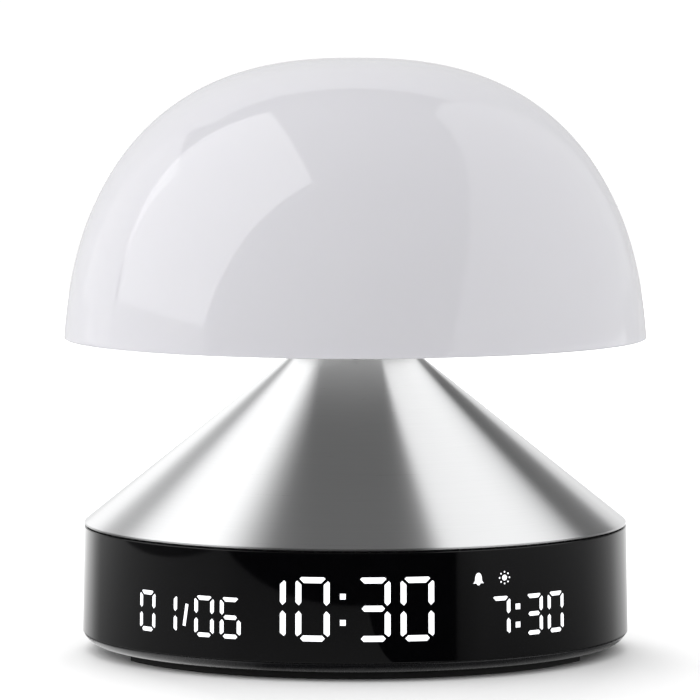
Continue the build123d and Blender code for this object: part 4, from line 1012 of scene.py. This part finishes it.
# %% [markdown]
# ### Contacts in the charging socket
# A small tongue in the socket carries twelve flat contacts on each side. They repeat at an even pitch,
# so a tree lays out a line of points, puts one contact on each, and does the same below the tongue.

# %% Socket contacts
contact_sizes = {"Pitch": 0.5 * MM, "Width": 0.28 * MM, "Length": 3.4 * MM, "Thickness": 0.06 * MM,
                 "Tongue": 0.7 * MM, "Front": 58.3 * MM, "Height": socket_z * MM, "Count": 12}
tree, size = new_tree("Socket Contacts", contact_sizes)
contact_size = joined(tree, size["Width"], size["Length"], size["Thickness"])
contact = node(tree, "GeometryNodeMeshCube", Size=contact_size)
rows = tree.nodes.new("GeometryNodeJoinGeometry")
for side in (-1, 1):
    first = joined(tree, (size["Count"] - 1.0) * size["Pitch"] * -0.5, size["Front"] - size["Length"] * 0.5,
                   size["Height"] + size["Tongue"] * (0.5 * side))
    line = node(tree, "GeometryNodeMeshLine", Count=size["Count"], Start_Location=first,
                Offset=joined(tree, size["Pitch"], 0.0, 0.0))
    copies = node(tree, "GeometryNodeInstanceOnPoints", Points=line.outputs[0],
                  Instance=contact.outputs["Mesh"])
    tree.links.new(copies.outputs[0], rows.inputs[0])
end_tree(tree, rows.outputs[0], size)
contacts = run_tree("socket_contacts", tree, contact_sizes, "nickel_strip")
settle(contacts, "base", "nickel_strip")

# %% [markdown]
# ## The studio
# The clock stands on plain pale paper in soft light. The light that shades it comes from the whole
# room, most of it from the left. Reflections are a matter of their own: a glossy piece shows whatever
# stands around it. They can be placed in two ways here. A panel lights one piece alone, which is called
# light linking, and a card is a glowing surface that only reflections see.

# %% Floor
floor_mesh = bpy.data.meshes.new("floor")
reach = 15
floor_mesh.from_pydata([(x * reach, y * reach, 0) for x, y in ((-1, -1), (1, -1), (1, 1), (-1, 1))], [],
                       [(0, 1, 2, 3)])
paper, tree, shader = new_finish("floor_paper", Specular_IOR_Level=0.0, Roughness=1.0)
feed(tree, between(tree, grain(tree, 0.02), [0.73] * 3, [0.74] * 3), shader.inputs["Base Color"])
floor = link("floor", floor_mesh, paper)
floor.visible_glossy = False
print("floor", floor.dimensions[:2])

# %% [markdown]
# ### Panels
# A panel is an area light, given by three corners and by its radiance, which is what a mirror shows of
# it. A real studio's panels fade towards their edges or hang at a slant, so a panel can take a pattern:
# a formula in its own two directions that its strength follows.

# %% Panels
CLOCK_MIDDLE = Vector((0, 0, 0.06))


def group(name, *pieces):
    """A collection that names the pieces a panel lights."""
    named = bpy.data.collections.new(name)
    for piece in pieces:
        named.objects.link(piece)
    return named


def panel(name, corner, along, up, radiance, seen_by, pattern=None):
    """A rectangular light from three corners in metres, facing the clock, for reflections only.

    A pattern is a formula for its strength from the shares u along it and v up it."""
    a, b, c = Vector(corner), Vector(along), Vector(up)
    right, top, centre = b - a, c - a, (b + c) / 2
    out = right.cross(top).normalized()
    flipped = out.dot(centre - CLOCK_MIDDLE) < 0
    if flipped:
        right, out = -right, -out
    light = bpy.data.lights.new(name, "AREA")
    light.shape, light.size, light.size_y = "RECTANGLE", right.length, top.length
    light.energy = radiance * math.pi * right.length * top.length
    if pattern:
        light.use_nodes = True
        tree = light.node_tree
        u, v, _ = split(tree, tree.nodes.new("ShaderNodeNewGeometry").outputs["Parametric"])
        feed(tree, pattern(1.0 - u if flipped else u, v), tree.nodes["Emission"].inputs["Strength"])
    lamp = bpy.data.objects.new(name, light)
    bpy.context.scene.collection.objects.link(lamp)
    x_axis = right.normalized()
    turn = Matrix((x_axis, out.cross(x_axis), out)).transposed().to_4x4()
    lamp.matrix_world = Matrix.Translation(centre) @ turn
    lamp.visible_camera = lamp.visible_diffuse = lamp.visible_transmission = False
    lamp.light_linking.receiver_collection = seen_by
    return lamp


def towards(bearing):
    """A flat direction from a bearing in degrees, from the front and positive to the right."""
    return Vector((math.sin(math.radians(bearing)), -math.cos(math.radians(bearing)), 0))


def upright(name, start, end, distance, low, high, radiance, seen_by):
    """A standing panel between two bearings."""
    left, right = towards(start) * distance, towards(end) * distance
    lift = Vector((0, 0, 1))
    return panel(name, left + lift * low, right + lift * low, left + lift * high, radiance, seen_by)


print("panels can be made")

# %% [markdown]
# ### What the dome reflects
# A tall window at the left gives the dome its main highlight, and low walls continue it towards the
# edge. At the right a wall begins with a slanting edge and runs on into the backdrop, so that the right
# half has a soft sheen. Their ends meet, because a gap would draw a dark line down the dome.

# %% Panels for the dome
by_dome = group("seen_by_dome", dome)
wall_x, wall_front_y, wall_back_y, wall_top = 1.0, -1.45, 1.88, 3.0
backdrop_left_x, backdrop_right_x, backdrop_y, backdrop_top = -1.44, 0.86, 1.6, 2.25


def leaning_edge(u, v):
    """Light behind a front edge that leans back as it rises."""
    lean, edge_y, softness = 0.875, -1.534, 0.04
    y, z = u * (wall_back_y - wall_front_y) + wall_front_y, v * wall_top
    return ((y - z * lean - edge_y) / softness).at_least(0.0).at_most(1.0)


panel("left_window", (-1.398, -0.728, 0.278), (-1.486, 0.53, 0.266), (-0.374, -0.744, 1.366), 2.3, by_dome,
      pattern=lambda u, v: 1.0 - u * 0.3)
upright("left_wall", -111, -138, 1.7, 0.0, 1.4, 1.0, by_dome)
upright("left_low_wall", -60, -111, 1.7, 0.0, 0.28, 0.8, by_dome)
panel("right_wall", (wall_x, wall_front_y, 0), (wall_x, wall_back_y, 0), (wall_x, wall_front_y, wall_top),
      0.8, by_dome, pattern=leaning_edge)
panel("backdrop", (backdrop_left_x, backdrop_y, 0), (backdrop_right_x, backdrop_y, 0),
      (backdrop_left_x, backdrop_y, backdrop_top), 0.6, by_dome, pattern=lambda u, v: 1.35 - u * 0.35)
print("the dome has", len(bpy.data.lights), "panels")

# %% [markdown]
# ### Cards
# Seen almost edge-on, any surface is a mirror. The dome's outermost strip would mirror the bright paper
# far behind it and melt into the background, so a low curved card stands between the two. A card gets an
# emission shader on the side that faces the clock and is clear from its other side.

# %% The low card
def glowing(name, mesh, glow):
    """A card that only reflections see; glow gives its brightness from its tree and its x and y."""
    material = bpy.data.materials.new(name)
    material.use_nodes = True
    tree = material.node_tree
    tree.nodes.clear()
    x, y, _ = split(tree, coordinates(tree))
    emitter = node(tree, "ShaderNodeEmission", Strength=glow(tree, x, y))
    mixed = tree.nodes.new("ShaderNodeMixShader")
    clear = tree.nodes.new("ShaderNodeBsdfTransparent")
    backside = tree.nodes.new("ShaderNodeNewGeometry").outputs["Backfacing"]
    for port, output in zip(mixed.inputs, (backside, emitter.outputs[0], clear.outputs[0])):
        tree.links.new(output, port)
    tree.links.new(mixed.outputs[0], tree.nodes.new("ShaderNodeOutputMaterial").inputs["Surface"])
    card = link(name, mesh, material)
    card.visible_camera = card.visible_diffuse = card.visible_transmission = card.visible_shadow = False


low_radius, low_span = 0.4, (0.03, 0.098)
bearings = range(125, 236, 5)
count = len(bearings)
low_mesh = bpy.data.meshes.new("low_card")
low_mesh.from_pydata([towards(b) * low_radius + Vector((0, 0, z)) for z in low_span for b in bearings], [],
                     [(k, count + k, count + k + 1, k + 1) for k in range(count - 1)])
glowing("low_card", low_mesh, lambda tree, x, y: 0.75 - x * 0.15)
print("the low card has", len(low_mesh.polygons), "faces")

# %% [markdown]
# ### What the cone reflects
# The cone's sides look up past the dome, so a wide card just under the dome's rim stands for the room
# over the clock. Its brightness follows the bearing, which puts each bright or dark ray in its place, and
# a colour ramp serves as the chart of it. Towards the front a dim patch near the axis takes over.

# %% The card over the cone
def glow_round(tree, x, y, stops):
    """Brightness from stops round a circle, given by bearing in degrees."""
    chart = node(tree, "ShaderNodeValToRGB", Fac=x.math("ARCTAN2", x, -y) / (2 * math.pi) + 0.5)
    elements = chart.color_ramp.elements
    for bearing, value in stops.items():
        if abs(bearing) == 180:          # a new ramp has its first and last stop already
            stop = elements[0 if bearing < 0 else -1]
        else:
            stop = elements.new(bearing / 360 + 0.5)
        stop.color = (value, value, value, 1)
    return Flow(tree, chart.outputs["Color"])


def rays_and_front(tree, x, y):
    """Bright and dark rays by bearing, over a dim front that brightens near the axis."""
    rays = glow_round(tree, x, y, {
        -180: 1.05, -140: 1.1, -130: 1.0, -121: 0.65, -113: 0.48, -104: 0.46, -99: 0.6, -93: 0.95, -85: 1.3,
        -55: 1.35, -48: 1.15, -43: 0.8, -38: 0.48, -34: 0.28, -28: 0.12, -22: 0.0, 22: 0.0, 25: 0.1, 28: 0.5,
        31: 0.95, 37: 1.06, 65: 1.14, 76: 1.1, 85: 0.97, 90: 0.75, 94: 0.4, 98: 0.12, 106: 0.04, 124: 0.04,
        130: 0.3, 136: 0.62, 180: 1.05})
    patch_edge, patch_softness = 0.028, 0.012
    closeness = (patch_edge - (x * x + y * y) ** 0.5) / patch_softness
    return rays.math("MAXIMUM", rays, closeness.at_most(1.0).at_least(0.0) * 0.2 + 0.14)


card_z, card_radii, steps = 0.0695, (0.0155, 1.0), 64
card_mesh = bpy.data.meshes.new("ray_card")
card_mesh.from_pydata([(x, y, card_z) for radius in card_radii for x, y in circle(radius, steps=steps)], [],
                      [(k, (k + 1) % steps, steps + (k + 1) % steps, steps + k) for k in range(steps)])
glowing("ray_card", card_mesh, rays_and_front)
print("the cone reflects a card of", card_radii[1], "m")

# %% [markdown]
# ### Light for the base and the paper
# The black band and the lower case mirror the table beside them, so they get panels that lie on it,
# brighter towards the back. Two tall lights behind the clock shine on the paper alone and lighten it
# there, and the clock's soft shadow then falls to the front.

# %% Panels for the base and the paper
panel("table_glow", (-0.335, -0.255, 0.0), (0.02, -0.255, 0.0), (-0.335, 0.3, 0.0), 1.0,
      group("seen_by_band", band), pattern=lambda u, v: v * v * 0.3 + v * 0.08 + 0.15)
by_case = group("seen_by_case", bpy.data.objects["lower_case"])
panel("left_table_glow", (-0.6, -0.4, 0.0), (-0.02, -0.4, 0.0), (-0.6, 0.6, 0.0), 1.0, by_case,
      pattern=lambda u, v: (v * v * 2.4 + 0.6) * ((1.0 - u) * 25.0).at_most(1.0))
panel("back_table_glow", (0.03, 0.0, 0.0), (0.6, 0.0, 0.0), (0.03, 0.6, 0.0), 1.3, by_case)
by_paper = group("paper", floor)
for name, start, end in [("left_paper_light", -150, -178), ("right_paper_light", 180, 167)]:
    upright(name, start, end, 1.3, 0.1, 1.1, 9.0, by_paper).visible_diffuse = True
print("the studio has", len(bpy.data.lights), "panels")

# %% [markdown]
# ### The room
# The world gives each kind of ray its own room. The camera sees plain white. Rays that shade the clock
# get a soft white room that is brighter from the left and from above. Mirrored rays see next to nothing
# above the horizon, where the panels and cards stand, and below it the table, brighter at the back.

# %% The room
world = bpy.data.worlds.new("studio")
bpy.context.scene.world = world
world.use_nodes = True
tree = world.node_tree
ray_kinds = tree.nodes.new("ShaderNodeLightPath")
seen, shiny = (Flow(tree, ray_kinds.outputs[kind]) for kind in ("Is Camera Ray", "Is Glossy Ray"))
x, y, z = split(tree, coordinates(tree, "Generated"))
to_right, to_left, to_front, to_top = (value.at_least(0.0) for value in (x, -x, -y, z))
soft = (1.0 + to_right * 0.52 + to_top * 0.85 + to_left ** 3.0 * 2.5 - to_front * 0.36) * 0.805
table = glow_round(tree, x, y, {
    -180: 0.75, -166: 0.85, -155: 0.75, -149: 0.6, -143: 0.3, -137: 0.08, -60: 0.05, -50: 0.0, 42: 0.0,
    44: 0.14, 55: 0.24, 112: 0.29, 120: 0.34, 129: 0.43, 138: 0.55, 147: 0.78, 154: 0.85, 165: 0.88,
    180: 0.75})
usual_depth = ((y + 1.0) * 0.5) ** 3.0 * 0.03 + 0.0854
nearness = ((z + usual_depth) * 21.0 + 1.0).at_least(0.35).at_most(1.25)
above = z.math("GREATER_THAN", z, 0.0)
mirrored = above * 0.03 + (1.0 - above) * table * nearness
strength = seen + (1.0 - seen) * (shiny * mirrored + (1.0 - shiny) * soft)
feed(tree, strength, tree.nodes["Background"].inputs["Strength"])
tree.nodes["Background"].inputs["Color"].default_value = (1, 1, 1, 1)
bpy.context.scene.view_settings.view_transform = "Standard"
print("the room has", len(tree.nodes), "nodes")

# %% [markdown]
# ### The camera
# A long lens from over a metre away keeps the clock's circles flat. It looks down by a few degrees, so
# that they open into narrow ellipses.

# %% Camera
eye, target = Vector((0, -1.2706, 0.1622)), Vector((-0.0012, 0, 0.0679))
lens = bpy.data.cameras.new("camera")
lens.lens, lens.sensor_width = 288.19, 36
lens.clip_start, lens.clip_end = 0.05, 40
camera = bpy.data.objects.new("camera", lens)
camera.location = eye
camera.rotation_euler = (target - eye).to_track_quat("-Z", "Y").to_euler()
bpy.context.scene.collection.objects.link(camera)
bpy.context.scene.camera = camera
print("camera", round((target - eye).length, 3), "m away")
